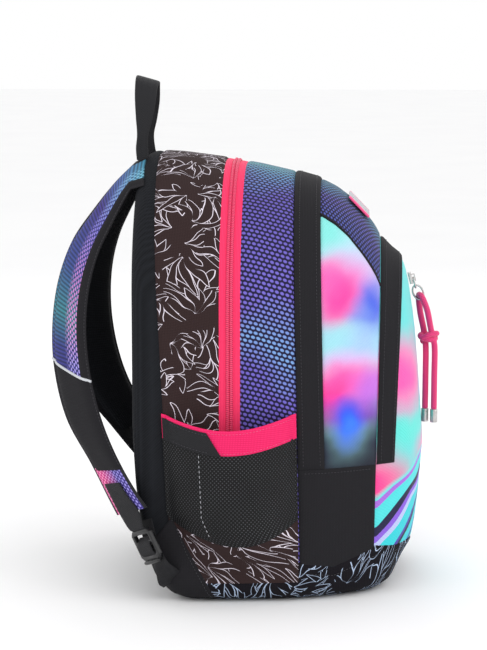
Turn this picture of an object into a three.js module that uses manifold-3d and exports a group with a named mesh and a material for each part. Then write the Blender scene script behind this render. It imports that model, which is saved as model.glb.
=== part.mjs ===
// School backpack, standing on its base. Millimetres, +Z up, front pocket towards -Y, shoulder straps
// towards +Y, the wearer's left side towards -X. The origin is the middle of the flat base.
import * as THREE from "three";
import { mergeVertices } from "three/addons/utils/BufferGeometryUtils.js";
import Module from "manifold-3d";

const wasm = await Module();
wasm.setup();

// Driving dimensions
const GAP = 0.3; // clearance between neighbouring pieces
const WALL = 3; // fabric, foam and lining together
const BACK_PAD = 14; // foam of the back panel
const FLAP = 1.6; // proud layer of the flaps that cover the two front zips
const ZIP_END = 112; // height at which the main zip stops on each side
const PANEL_SEAM = 134; // height where the printed side panels meet the plain lower panels
const RIBBED_HALF = 88; // half width of the ribbed top panel
const STRAP_THICK = 11;
const WEB_WIDTH = 25;
const WEB_THICK = 1.6;
const CORD = 6.4;
const SIDES = { left: -1, right: 1 };

// Sections of the bag from back to front: depth y, half width, top, bottom, radius of the lower corners
const SECTIONS = [
  [102, 134, 426, 116, 70],
  [99, 142, 433, 86, 60],
  [91, 147, 437, 46, 45],
  [78, 149, 437.5, 19, 36],
  [62, 149.5, 436.5, 5, 28],
  [46, 150, 434.5, 0, 24],
  [16, 150, 430.5, 0, 22],
  [-20, 147, 424, 0, 22],
  [-55, 142, 416, 0, 22],
  [-80, 136, 409, 0, 24],
  [-96, 130, 401, 0, 26],
  [-108, 125, 392, 0, 28],
  [-122, 118, 378, 0, 30],
  [-134, 112, 363, 0, 34],
  [-143, 106, 347, 3, 38],
  [-152, 100, 338, 9, 42],
  [-161, 93, 331, 25, 48],
  [-166, 88, 322, 33, 50],
  [-170.5, 81, 302, 38, 50],
  [-174.5, 72, 276, 45, 46],
  [-178, 61, 246, 64, 40],
  [-181, 49, 208, 88, 34],
  [-183.5, 34, 176, 112, 26],
  [-185, 16, 156, 132, 12],
];
const [BACK, FRONT] = [SECTIONS[0][0], SECTIONS.at(-1)[0]];

// Seams in side view: depth at the base and at the crown
const SEAM = {
  back: [62, 84],
  zipRear: [16, 16],
  zipFront: [-4, -4],
  flapRear: [-64, -53.5],
  flapFront: [-90, -79.5],
  pocketRear: [-136, -142.5],
  pocketFront: [-151, -167],
};
const BOOT_TOP = [[63, 30], [20, 40], [-55, 42], [-96, 36], [-139, 52], [-200, 44]];

const COLOURS = {
  black: 0x222023, leaf: 0x3a2a2a, base: 0x17131a, zip: 0xff3f70, elastic: 0xff1f74, cord: 0xe0206a,
  mesh: 0x4a3f92, dye: 0x7fb6e0, face: 0xd060a8, metal: 0xb8b8bc, buckle: 0x1b1b1d, grey: 0x9a9aa2,
  board: 0x30323a, lining: 0x3a3a40, pocket: 0x2b2b2e,
};

const bag = new THREE.Group();

const [FABRIC_ROUGHNESS, METAL_ROUGHNESS] = [0.8, 0.3];

function add(name, geometry, colour, metalness = 0) {
  const roughness = metalness ? METAL_ROUGHNESS : FABRIC_ROUGHNESS;
  const finish = new THREE.MeshStandardMaterial({ color: COLOURS[colour], metalness, roughness });
  const mesh = new THREE.Mesh(geometry, finish);
  mesh.name = name;
  bag.add(mesh);
  return mesh;
}

// --- solids -------------------------------------------------------------------------------------

function toSolid(geometry) {
  const plain = geometry.index ? geometry.toNonIndexed() : geometry.clone();
  const bare = new THREE.BufferGeometry().setAttribute("position", plain.getAttribute("position"));
  const merged = mergeVertices(bare, 1e-4);
  return new wasm.Manifold(new wasm.Mesh({
    numProp: 3,
    vertProperties: merged.attributes.position.array,
    triVerts: new Uint32Array(merged.index.array),
  }));
}

function toGeometry(solid) {
  const mesh = solid.getMesh();
  return new THREE.BufferGeometry()
    .setAttribute("position", new THREE.BufferAttribute(new Float32Array(mesh.vertProperties), 3))
    .setIndex(new THREE.BufferAttribute(new Uint32Array(mesh.triVerts), 1));
}

function fromRings(rings) {
  // A closed body through rings of equally many points, each end closed by a fan round its centre.
  const count = rings[0].length;
  const points = rings.flat();
  const triangles = [];
  for (let i = 0; i + 1 < rings.length; i++) {
    for (let j = 0; j < count; j++) {
      const [a, b] = [i * count + j, i * count + ((j + 1) % count)];
      triangles.push(a, b, b + count, a, b + count, a + count);
    }
  }
  for (const [ring, flip] of [[0, true], [rings.length - 1, false]]) {
    const centre = new THREE.Vector3();
    rings[ring].forEach((p) => centre.addScaledVector(p, 1 / count));
    points.push(centre);
    for (let j = 0; j < count; j++) {
      const [a, b] = [ring * count + j, ring * count + ((j + 1) % count)];
      triangles.push(...(flip ? [b, a] : [a, b]), points.length - 1);
    }
  }
  return new THREE.BufferGeometry().setFromPoints(points).setIndex(triangles);
}

function fromGrids(rows, columns, outer, inner) {
  // A closed sheet of cloth: outer(u, v) and inner(u, v) are its two faces, u and v from 0 to 1.
  const ring = (v) => {
    const line = [];
    for (let i = 0; i <= columns; i++) line.push(outer(i / columns, v));
    for (let i = columns; i >= 0; i--) line.push(inner(i / columns, v));
    return line;
  };
  const rings = [];
  for (let j = 0; j <= rows; j++) rings.push(ring(j / rows));
  const count = rings[0].length;
  const points = rings.flat();
  const triangles = [];
  for (let i = 0; i < rows; i++) {
    for (let j = 0; j < count; j++) {
      const [a, b] = [i * count + j, i * count + ((j + 1) % count)];
      triangles.push(a, b, b + count, a, b + count, a + count);
    }
  }
  for (const [ringIndex, flip] of [[0, true], [rows, false]]) {
    const start = ringIndex * count;
    for (let j = 0; j < columns; j++) {
      const quad = [start + j, start + j + 1, start + count - 2 - j, start + count - 1 - j];
      const [a, b, c, d] = flip ? quad.reverse() : quad;
      triangles.push(a, b, c, a, c, d);
    }
  }
  return new THREE.BufferGeometry().setFromPoints(points).setIndex(triangles);
}

function facingOut(geometry) {
  const solid = toSolid(geometry);
  if (solid.volume() > 0) return geometry;
  const flipped = geometry.index.array.slice().reverse();
  return geometry.setIndex(new THREE.BufferAttribute(flipped, 1));
}

// Pieces that come in pairs are drawn for the left side and mirrored for the right one.
const onSide = (side, point) => new THREE.Vector3(-SIDES[side] * point.x, point.y, point.z);

// --- the bag's outline --------------------------------------------------------------------------

function sectionAt(y) {
  const i = Math.min(Math.max(SECTIONS.findIndex((s) => s[0] <= y), 1), SECTIONS.length - 1);
  const [a, b] = [SECTIONS[i - 1], SECTIONS[i]];
  const t = THREE.MathUtils.clamp((y - a[0]) / (b[0] - a[0]), 0, 1);
  return a.map((value, k) => THREE.MathUtils.lerp(value, b[k], t));
}

function outline(y, [, width, top, bottom, foot], grow) {
  // One arch-shaped section as a ring of points: flat foot, rounded corners, straight sides, round crown
  const [w, t, b] = [width + grow, top + grow, bottom - grow];
  const crown = Math.min(0.93 * w, 0.8 * (t - b));
  const corner = Math.min(foot + grow, 0.9 * w, t - b - crown);
  const ring = [];
  const arc = (cx, cz, rx, rz, from, steps) => {
    for (let i = 0; i <= steps; i++) {
      const angle = from + (Math.PI / 2) * (i / steps);
      ring.push(new THREE.Vector3(cx + rx * Math.cos(angle), y, cz + rz * Math.sin(angle)));
    }
  };
  arc(w - corner, b + corner, corner, corner, -Math.PI / 2, 5);
  arc(w - crown, t - crown, crown, crown, 0, 12);
  arc(crown - w, t - crown, crown, crown, Math.PI / 2, 12);
  arc(corner - w, b + corner, corner, corner, Math.PI, 5);
  return ring;
}

function bodyLoft(grow, growBack = grow) {
  const rings = SECTIONS.map((section) => {
    const t = (section[0] - FRONT) / (BACK - FRONT);
    return outline(THREE.MathUtils.lerp(FRONT - grow, BACK + growBack, t), section, grow);
  });
  return toSolid(facingOut(fromRings(rings)));
}

function sideCut(points, from = -300, to = 300) {
  // A tool that keeps a region drawn in side view, as [depth, height] points, between two x values
  const shape = new THREE.Shape(points.map(([y, z]) => new THREE.Vector2(y, z)));
  const geometry = new THREE.ExtrudeGeometry(shape, { depth: to - from, bevelEnabled: false });
  const axes = new THREE.Matrix4().makeBasis(
    new THREE.Vector3(0, 1, 0), new THREE.Vector3(0, 0, 1), new THREE.Vector3(1, 0, 0));
  return toSolid(geometry.applyMatrix4(axes.setPosition(from, 0, 0)));
}

const seamAt = ([foot, crown], z) => THREE.MathUtils.lerp(foot, crown, z / 440);

function between(frontSeam, rearSeam, low = -10, high = 460, from, to) {
  const [y0, y1] = [(z) => seamAt(frontSeam, z) + GAP / 2, (z) => seamAt(rearSeam, z) - GAP / 2];
  return sideCut([[y0(low), low], [y1(low), low], [y1(high), high], [y0(high), high]], from, to);
}

const outer = bodyLoft(0);
const inner = bodyLoft(-WALL, -BACK_PAD);
const lining = bodyLoft(-WALL - GAP, -BACK_PAD - GAP);
const shell = outer.subtract(inner);
const flapLayer = bodyLoft(GAP + FLAP).subtract(bodyLoft(GAP));
const bootRegion = (lift) => sideCut([
  [62 + lift, -20], ...BOOT_TOP.map(([y, z]) => [y + (y > 60 ? lift : 0), z + lift]), [-200, -20]]);
const upper = shell.subtract(bootRegion(GAP));

function panel(name, body, tool, colour) {
  return add(name, toGeometry(body.intersect(tool)), colour);
}

// --- shell panels, from the back to the front ---------------------------------------------------

const BEHIND = [200, 200];
panel("back_panel", upper, between(SEAM.back, BEHIND), "black");
panel("rear_gusset", upper, sideCut([
  [SEAM.zipFront[0] + GAP / 2, 20], [seamAt(SEAM.back, 20) - GAP / 2, 20],
  [seamAt(SEAM.back, 460) - GAP / 2, 460], [SEAM.zipRear[0] + GAP / 2, 460],
  [SEAM.zipRear[0] + GAP / 2, ZIP_END - GAP], [SEAM.zipFront[0] + GAP / 2, ZIP_END - GAP],
]), "leaf");

const COIL = { rear: [8.6, 8.6], front: [3.4, 3.4] };
const COIL_PROUD = 1.6;
const coilLayer = bodyLoft(COIL_PROUD).subtract(inner);
panel("main_zip_tape_rear", upper, between(COIL.rear, SEAM.zipRear, ZIP_END), "zip");
panel("main_zip_coil", coilLayer, between(COIL.front, COIL.rear, ZIP_END), "zip");
panel("main_zip_tape_front", upper, between(SEAM.zipFront, COIL.front, ZIP_END), "zip");
panel("mesh_gusset", upper, between(SEAM.flapRear, SEAM.zipFront), "mesh");

panel("second_zip", upper, between(SEAM.flapFront, SEAM.flapRear, PANEL_SEAM), "zip");
panel("second_zip_flap", flapLayer, between(SEAM.flapFront, SEAM.flapRear, PANEL_SEAM), "black");
panel("ribbed_top", upper, between(SEAM.pocketRear, SEAM.flapFront, PANEL_SEAM, 460,
  GAP - RIBBED_HALF, RIBBED_HALF - GAP), "mesh");
panel("front_zip", upper, between(SEAM.pocketFront, SEAM.pocketRear, PANEL_SEAM), "zip");
panel("front_zip_flap", flapLayer, between(SEAM.pocketFront, SEAM.pocketRear, PANEL_SEAM), "black");
for (const [side, sign] of Object.entries(SIDES)) {
  const range = (a, b) => (sign < 0 ? [-b, -a] : [a, b]);
  panel(`side_panel_${side}`, upper, between(SEAM.pocketRear, SEAM.flapFront, PANEL_SEAM, 460,
    ...range(RIBBED_HALF, 300)), "dye");
  panel(`lower_panel_${side}`, upper, between(SEAM.pocketRear, SEAM.flapRear, 0, PANEL_SEAM - GAP,
    ...range(0.15, 300)), "black");
}
panel("front_pocket_face", upper, sideCut([
  [-250, 0], [seamAt(SEAM.pocketRear, 0) - GAP / 2, 0],
  [seamAt(SEAM.pocketRear, PANEL_SEAM) - GAP / 2, PANEL_SEAM - GAP],
  [seamAt(SEAM.pocketFront, PANEL_SEAM) - GAP / 2, PANEL_SEAM - GAP],
  [seamAt(SEAM.pocketFront, 440) - GAP / 2, 440], [-250, 440],
]), "face");
panel("base_boot", shell, bootRegion(0), "base");

// --- inside the bag ------------------------------------------------------------------------------

const slice = (y, thickness, low, high) => sideCut([[y, low], [y + thickness, low],
  [y + thickness, high], [y, high]]);
panel("back_board", lining, slice(84.5, 2, 60, 400), "board");
panel("laptop_sleeve", lining, slice(66, 4, 22, 300), "lining");
panel("compartment_divider", lining, slice(-62, 1.5, 6, 440), "lining");
panel("front_pocket_lining", lining, slice(-139.5, 1.5, 6, 440), "lining");
panel("base_board", lining, sideCut([[-134, 3.4], [60, 3.4], [60, 5.6], [-134, 5.6]]), "board");

// --- badge ---------------------------------------------------------------------------------------

const BADGE = { size: [72, 29, 2.4], centre: [0, -119.5, 384.8], slope: 46 };
const badge = add("badge", new THREE.BoxGeometry(...BADGE.size), "grey");
badge.position.set(...BADGE.centre);
badge.rotation.x = THREE.MathUtils.degToRad(BADGE.slope);

// --- side pockets --------------------------------------------------------------------------------

const POCKET = { foot: 27, bulge: 26, rim: 190, sag: 11, elastic: 25, clear: 0.9, cloth: 1.3 };
const WING_LINE = { y: 15.5, z: 2, slope: 0.535 }; // slanting front edge of the wings

function pocketPoint(u, z, lift) {
  // A point of the left pocket: u runs from its rear seam to its front seam.
  const wingEdge = WING_LINE.y + WING_LINE.slope * (z - WING_LINE.z);
  const rear = Math.min(seamAt(SEAM.back, z) - 3, wingEdge);
  const y = THREE.MathUtils.lerp(rear, seamAt(SEAM.flapRear, z) + 4, u);
  const rise = THREE.MathUtils.smoothstep(z, POCKET.foot - 6, 84);
  const bulge = POCKET.bulge * rise * Math.sin(Math.PI * u) ** 0.65;
  return new THREE.Vector3(-sectionAt(y)[1] - POCKET.clear - bulge - lift, y, z);
}

const rimHeight = (u) => POCKET.rim - POCKET.sag * Math.sin(Math.PI * u);
const bandFoot = (u) => rimHeight(u) - POCKET.elastic;
const meshFoot = (u) => 62 + 20 * (2 * u - 1) ** 2;

function pocketPanel(name, side, low, high, rows, colour, lift = 0, limits = () => [0, 1]) {
  const surface = (extra) => (u, v) => {
    const across = THREE.MathUtils.lerp(...limits(v), u);
    const z = THREE.MathUtils.lerp(low(across), high(across), v);
    return onSide(side, pocketPoint(across, z, lift + extra));
  };
  const sheet = fromGrids(rows, 12, surface(POCKET.cloth), surface(0));
  add(`side_pocket_${name}_${side}`, facingOut(sheet), colour);
}

for (const side of Object.keys(SIDES)) {
  pocketPanel("foot", side, () => POCKET.foot, (u) => meshFoot(u) - GAP, 3, "leaf");
  pocketPanel("mesh", side, meshFoot, (u) => bandFoot(u) - GAP, 6, "pocket");
  pocketPanel("elastic", side, bandFoot, rimHeight, 2, "elastic");
  pocketPanel("tab", side, bandFoot, rimHeight, 2, "black", POCKET.cloth + GAP,
    (v) => [0.02, THREE.MathUtils.lerp(0.44, 0.33, v)]);
}

// --- ribbons: straps, webbing and the grab handle -------------------------------------------------

const curve = (points) => new THREE.CatmullRomCurve3(points);

function ribbon(edgeA, edgeB, thickness, steps, from = 0, to = 1) {
  // A flat band between two edge curves, with rounded long edges
  const rings = [];
  for (let i = 0; i <= steps; i++) {
    const t = THREE.MathUtils.lerp(from, to, i / steps);
    const [a, b] = [edgeA.getPoint(t), edgeB.getPoint(t)];
    const across = b.clone().sub(a);
    const along = edgeA.getTangent(t).add(edgeB.getTangent(t)).normalize();
    const out = new THREE.Vector3().crossVectors(across, along).normalize();
    const at = (share, lift) => a.clone().addScaledVector(across, share)
      .addScaledVector(out, (lift * thickness) / 2);
    rings.push([at(0, -0.3), at(0, 0.3), at(0.12, 1), at(0.88, 1), at(1, 0.3), at(1, -0.3),
      at(0.88, -1), at(0.12, -1)]);
  }
  return facingOut(fromRings(rings));
}

// Edges of the left strap from the shoulder seam to the ladder lock: nearer the neck, and outer
const NECK_EDGE = [[-27, 108.5, 429], [-32, 128, 410], [-36, 150, 383], [-42, 172, 351], [-50, 186, 312],
  [-57, 192, 268], [-64, 190, 222], [-78, 176, 172], [-98, 149, 130], [-120, 128, 97], [-139, 111, 72]];
const OUTER_EDGE = [[-88, 108, 406], [-88, 116, 392], [-91, 126, 372], [-97, 139, 344], [-104, 148, 310],
  [-111, 151, 270], [-117, 147, 228], [-126, 137, 188], [-139, 122, 153], [-157, 101, 120], [-171, 77, 90]];
const STRAP_SPLIT = 0.83; // share of the strap's length where its padded part ends
const END_THICK = 6; // of the unpadded end piece

// The ladder lock: its centre, and its directions across, down along and out of the strap
const BUCKLE = { centre: new THREE.Vector3(-160, 86, 60), width: 33, length: 36, thick: 5, bar: 5 };
const ACROSS = new THREE.Vector3(24.6, 19, -11).normalize();
const OUT = new THREE.Vector3().crossVectors(ACROSS, new THREE.Vector3(-3, -17, -35)).normalize();
const ALONG = new THREE.Vector3().crossVectors(OUT, ACROSS);

function bucklePoint(across, along, out) {
  return BUCKLE.centre.clone().addScaledVector(ACROSS, across).addScaledVector(ALONG, along)
    .addScaledVector(OUT, out);
}

function ladderLock() {
  // A plate with two webbing slots; its corners are cut off
  const [w, l, cut, slot] = [BUCKLE.width / 2, BUCKLE.length / 2, 4, 7];
  const corners = [[-w, cut - l], [cut - w, -l], [w - cut, -l], [w, cut - l],
    [w, l - 2 * cut], [w - 2 * cut, l], [2 * cut - w, l], [-w, l - 2 * cut]];
  const plate = new THREE.Shape(corners.map(([x, y]) => new THREE.Vector2(x, y)));
  for (const low of [BUCKLE.bar - l, 2 * BUCKLE.bar + slot - l]) {
    const half = WEB_WIDTH / 2 + 0.8;
    plate.holes.push(new THREE.Path([[-half, low], [half, low], [half, low + slot], [-half, low + slot]]
      .map(([x, y]) => new THREE.Vector2(x, y))));
  }
  return new THREE.ExtrudeGeometry(plate, { depth: BUCKLE.thick, bevelEnabled: false })
    .translate(0, 0, -BUCKLE.thick / 2)
    .applyMatrix4(new THREE.Matrix4().makeBasis(ACROSS, ALONG, OUT).setPosition(BUCKLE.centre));
}

function mirrorX(geometry) {
  const points = geometry.getAttribute("position").clone();
  const bare = new THREE.BufferGeometry().setAttribute("position", points).scale(-1, 1, 1);
  return facingOut(mergeVertices(bare, 1e-4));
}

const WING = [[63, 88], [16.5, 0.6], [60, 0.6], [74, 10], [89, 32], [93, 52], [80, 66]];
const WING_PROUD = 2.2;
const wingLayer = bodyLoft(GAP + WING_PROUD).subtract(bodyLoft(GAP));
const WEBBING_SEAM = -155.6; // x of the lower webbing where it leaves the wing
const WEBBING_RUN = [[20, -5.2], [0, -5.4], [-24, -10]]; // along and out of the ladder lock
const TAB_LIFT = 1.9; // of the webbing tab over the strap's end
const half = WEB_WIDTH / 2;
for (const [side, sign] of Object.entries(SIDES)) {
  const edge = (points) => curve(points.map((p) => onSide(side, new THREE.Vector3(...p))));
  const [neck, far] = [edge(NECK_EDGE), edge(OUTER_EDGE)];
  add(`shoulder_strap_${side}`, ribbon(neck, far, STRAP_THICK, 22, 0, STRAP_SPLIT), "mesh");
  add(`strap_end_${side}`, ribbon(neck, far, END_THICK, 5, STRAP_SPLIT + 0.004, 0.96), "mesh");

  const onStrap = (t, share) => {
    // A point just above the outward face of the strap's end, share of the way across it
    const [a, b] = [neck.getPoint(t), far.getPoint(t)];
    const out = new THREE.Vector3().crossVectors(b.clone().sub(a), neck.getTangent(t)).normalize();
    return a.lerp(b, share).addScaledVector(out, -sign * (END_THICK / 2 + TAB_LIFT));
  };
  const tabEdge = (way) => curve([onStrap(0.87, 0.5 + 0.26 * way), onStrap(0.92, 0.5 + 0.28 * way),
    onStrap(0.965, 0.5 + 0.3 * way), onSide(side, bucklePoint(-half * way, -19.5, 2.4))]);
  add(`strap_tab_${side}`, ribbon(tabEdge(-1), tabEdge(1), WEB_THICK, 5), "black");
  add(`ladder_lock_${side}`, sign < 0 ? ladderLock() : mirrorX(ladderLock()), "buckle");

  const wingTool = sideCut(WING, sign < 0 ? -300 : 60, sign < 0 ? -60 : 300);
  panel(`wing_${side}`, wingLayer, wingTool, "black");
  const lowerEdge = (across, y, z) => curve([new THREE.Vector3(WEBBING_SEAM, y, z),
    ...WEBBING_RUN.map(([along, out]) => bucklePoint(across, along, out))].map((p) => onSide(side, p)));
  const webbing = ribbon(lowerEdge(half, 76, 21), lowerEdge(-half, 57, 36), WEB_THICK, 12);
  add(`lower_webbing_${side}`, webbing, "black");
}

// --- grab handle -----------------------------------------------------------------------------------

// One half of the handle's centre line, from its seam to its middle: x, depth, height, half width
const HANDLE = [[-37, 101, 441.5, 6.5], [-35, 101, 456, 5.5], [-31, 100, 472, 8], [-25, 99, 492, 10.5],
  [-13, 98.5, 508, 11.5], [0, 98, 512.5, 12]];
const HANDLE_SLANT = 0.28; // how far the rear edge rises over the front edge
const wholeHandle = [...HANDLE, ...HANDLE.slice(0, -1).reverse().map(([x, ...rest]) => [-x, ...rest])];
const handleEdge = (way) => curve(wholeHandle.map(([x, y, z, w]) =>
  new THREE.Vector3(x, y + way * w, z + way * HANDLE_SLANT * w)));
const HANDLE_THICK = 3;
add("grab_handle", ribbon(handleEdge(1), handleEdge(-1), HANDLE_THICK, 24), "black");

// --- zip sliders and pulls -------------------------------------------------------------------------

const SLIDER = { width: 9, length: 12, thick: 3.4 };
const ARCH = { half: 4, hole: 2.8, rise: 2.6, roof: 0.9, width: 2 };
const PULL = { width: 6.5, length: 26, thick: 1.4, slot: 1.5, slotEnd: 5.4 };
const PULL_LIFT = SLIDER.thick + ARCH.rise / 2; // height of the pull's crossbar inside the arch

const flat = (points) => points.map(([x, y]) => new THREE.Vector2(x, y));

function slider() {
  // Body with an arch for the pull, drawn with the zip running along y and the outside towards z
  const [w, l] = [SLIDER.width / 2, SLIDER.length / 2];
  const plan = new THREE.Shape(flat([[-w, l], [-0.6 * w, -l], [0.6 * w, -l], [w, l]]));
  const body = new THREE.ExtrudeGeometry(plan, { depth: SLIDER.thick, bevelEnabled: false });
  const [foot, top] = [-0.5, ARCH.rise + ARCH.roof];
  const side = new THREE.Shape(flat([[-ARCH.half, foot], [ARCH.half, foot], [ARCH.half, top],
    [-ARCH.half, top]]));
  side.holes.push(new THREE.Path(flat([[-ARCH.hole, 0], [ARCH.hole, 0], [ARCH.hole, ARCH.rise],
    [-ARCH.hole, ARCH.rise]])));
  const arch = new THREE.ExtrudeGeometry(side, { depth: ARCH.width, bevelEnabled: false })
    .applyMatrix4(new THREE.Matrix4().makeBasis(new THREE.Vector3(0, 1, 0), new THREE.Vector3(0, 0, 1),
      new THREE.Vector3(1, 0, 0)).setPosition(-ARCH.width / 2, 0, SLIDER.thick));
  return toGeometry(toSolid(body).add(toSolid(arch)));
}

function pullTab() {
  // A tongue that hangs from its crossbar, which passes through the arch
  const [w, l, bar] = [PULL.width / 2, PULL.length, PULL.thick / 2];
  const shape = new THREE.Shape().moveTo(-w, bar).lineTo(-w, w - l)
    .absarc(0, w - l, w, Math.PI, 2 * Math.PI).lineTo(w, bar).lineTo(-w, bar);
  shape.holes.push(new THREE.Path(flat([[-PULL.slot, -PULL.slotEnd], [PULL.slot, -PULL.slotEnd],
    [PULL.slot, -bar], [-PULL.slot, -bar]])));
  return new THREE.ExtrudeGeometry(shape, { depth: PULL.thick, bevelEnabled: false, curveSegments: 6 })
    .translate(0, 0, -PULL.thick / 2);
}

function place(mesh, position, out, up, tilt = 0) {
  const across = new THREE.Vector3().crossVectors(up, out).normalize();
  const frame = new THREE.Matrix4().makeBasis(across, new THREE.Vector3().crossVectors(out, across), out);
  mesh.quaternion.setFromRotationMatrix(frame);
  mesh.rotateX(-tilt);
  mesh.position.copy(position);
}

const UP = new THREE.Vector3(0, 0, 1);
const RIGHT = new THREE.Vector3(1, 0, 0);
const FLAP_OUT = new THREE.Vector3(16, -6, 0).normalize();
const LEAN = 0.32; // the upper pull rests on the lower slider
const ZIPS = [
  { name: "main_upper", at: [sectionAt(6)[1] + 2.2, 6, 222], out: RIGHT, up: UP, lean: LEAN },
  { name: "main_lower", at: [sectionAt(6)[1] + 2.2, 6, 209], out: RIGHT, up: UP.clone().negate(), lean: 0 },
  { name: "second", at: [sectionAt(-93)[1] + 2.6, -93, 214], out: FLAP_OUT, up: UP, lean: 0 },
];
for (const { name, at, out, up, lean } of ZIPS) {
  const seat = new THREE.Vector3(...at);
  place(add(`${name}_slider`, slider(), "metal", 1), seat, out, up);
  const pivot = seat.clone().addScaledVector(out, PULL_LIFT);
  place(add(`${name}_pull`, pullTab(), "metal", 1), pivot, out, UP, lean);
}

// --- the front pocket's slider, its ring and the cord pull -------------------------------------------

const FACE_OUT = new THREE.Vector3(0, -0.97, 0.24).normalize();
const LINK = { half: 3.6, wire: 1, long: 1.53 }; // half width, wire radius, length to width
const RING = { half: 5.2, wire: 1, long: 1.5 };
const frontSeat = new THREE.Vector3(0, -171.2, 308);
const faceUp = new THREE.Vector3().crossVectors(FACE_OUT, RIGHT);
const crossbar = frontSeat.clone().addScaledVector(FACE_OUT, PULL_LIFT);
const linkCentre = crossbar.clone().addScaledVector(faceUp, -LINK.half * LINK.long);
const RING_UP = new THREE.Vector3(0, 0.4, 0.92).normalize();
const linkFoot = linkCentre.clone().addScaledVector(faceUp, -LINK.half * LINK.long);
const ringTop = linkFoot.clone().addScaledVector(faceUp, LINK.wire + RING.wire + GAP);
const ringCentre = ringTop.clone().addScaledVector(RING_UP, -RING.half * RING.long);

function ovalRing({ half: radius, wire, long }) {
  // A ring of round wire, drawn out to an oval by moving each point with its place on the centre line
  const torus = new THREE.TorusGeometry(radius, wire, 8, 20).toNonIndexed().getAttribute("position");
  for (let i = 0; i < torus.count; i++) {
    const [x, y] = [torus.getX(i), torus.getY(i)];
    torus.setY(i, y + ((long - 1) * radius * y) / Math.hypot(x, y));
  }
  return facingOut(mergeVertices(new THREE.BufferGeometry().setAttribute("position", torus), 1e-4));
}

place(add("front_slider", slider(), "metal", 1), frontSeat, FACE_OUT, UP);
place(add("front_pull_link", ovalRing(LINK), "metal", 1), linkCentre, FACE_OUT, UP);
place(add("front_pull_ring", ovalRing(RING), "metal", 1), ringCentre, RIGHT, RING_UP);

const KNOT = { centre: [0, -191, 247], half: [8.5, 10.5, 8] };
const LEGS = { front: [-3, -198.5], rear: [2, -189.5] }; // x and depth of the two hanging legs
const LEG_FOOT = 172;
const CORD_END = { length: 14, wall: 0.7 };

function cordTube(points, sides = 8) {
  const path = curve(points.map((p) => new THREE.Vector3(...p)));
  const section = new THREE.Shape();
  section.absarc(0, 0, CORD / 2, 0, 2 * Math.PI);
  const steps = Math.ceil(path.getLength() / (2.5 * CORD)) + 4;
  return new THREE.ExtrudeGeometry(section, { extrudePath: path, steps, curveSegments: sides / 2,
    bevelEnabled: false });
}

const knotTop = KNOT.centre[2] + KNOT.half[2];
const knotFoot = KNOT.centre[2] - KNOT.half[2];
const SADDLE = -2.8; // where the cord lies on the ring, below the ring's centre
const saddle = ringCentre.clone().addScaledVector(RING_UP, SADDLE);
add("pull_cord_loop", cordTube([[5, -187, knotTop + GAP], [6.4, -183.6, 272], [5.4, -181.8, 288],
  saddle.toArray(), [-5.6, -184.4, 290], [-6.6, -190, 277], [-5, -194.5, knotTop + GAP]]), "cord");
const knot = add("pull_cord_knot", new THREE.SphereGeometry(1, 16, 10), "cord");
knot.scale.set(...KNOT.half);
knot.position.set(...KNOT.centre);
for (const [name, [x, y]] of Object.entries(LEGS)) {
  add(`pull_cord_leg_${name}`, cordTube([[x, y, knotFoot - GAP], [x, y, 205], [x, y, LEG_FOOT]]), "cord");
  const radius = CORD / 2 + CORD_END.wall;
  const end = new THREE.CylinderGeometry(radius, radius, CORD_END.length, 16);
  const cap = add(`pull_cord_end_${name}`, end, "metal", 1);
  cap.rotation.x = Math.PI / 2;
  cap.position.set(x, y, LEG_FOOT - GAP - CORD_END.length / 2);
}

export default bag;
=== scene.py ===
# School backpack: printed and plain polyester panels, zips, net side pockets, padded straps, webbing,
# plastic ladder locks and a corded zip pull. Lengths in the sections are in millimetres and become
# metres where a mesh is placed. Left and right are the wearer's.
import math

import bpy
import numpy as np
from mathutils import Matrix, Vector


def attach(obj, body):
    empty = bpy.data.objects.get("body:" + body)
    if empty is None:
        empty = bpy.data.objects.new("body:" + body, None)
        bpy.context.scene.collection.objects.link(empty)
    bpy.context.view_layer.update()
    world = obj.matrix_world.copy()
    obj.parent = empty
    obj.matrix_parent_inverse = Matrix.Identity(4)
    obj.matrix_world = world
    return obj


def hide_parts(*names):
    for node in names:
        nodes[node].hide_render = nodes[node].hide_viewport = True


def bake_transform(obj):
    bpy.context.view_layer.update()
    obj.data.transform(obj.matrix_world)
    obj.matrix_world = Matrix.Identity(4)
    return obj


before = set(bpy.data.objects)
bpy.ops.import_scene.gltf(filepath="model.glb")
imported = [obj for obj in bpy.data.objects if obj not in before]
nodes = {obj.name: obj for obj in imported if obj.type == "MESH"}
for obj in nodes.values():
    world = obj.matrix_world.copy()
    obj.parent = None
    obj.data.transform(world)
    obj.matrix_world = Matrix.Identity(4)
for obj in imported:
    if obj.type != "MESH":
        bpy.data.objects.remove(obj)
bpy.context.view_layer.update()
scene = bpy.context.scene
MM = 0.001

# ---------------------------------------------------------------------------------------------------
# Camera, light and floor. A pale seamless studio floor, one broad soft lamp on the near side, weaker
# ones in front, behind and beyond, and a white surround.
aim = Vector((0, 0, 0.258))
turn, lift, distance = math.radians(3), math.radians(8), 2.3
toward = Vector((-math.cos(turn) * math.cos(lift), -math.sin(turn) * math.cos(lift), math.sin(lift)))
bpy.ops.object.camera_add(location=aim + toward * distance)
camera = bpy.context.object
camera.rotation_euler = (-toward).to_track_quat("-Z", "Y").to_euler()
camera.data.lens = 122.3  # millimetres
scene.camera = camera
scene.view_settings.view_transform = "Standard"

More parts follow.
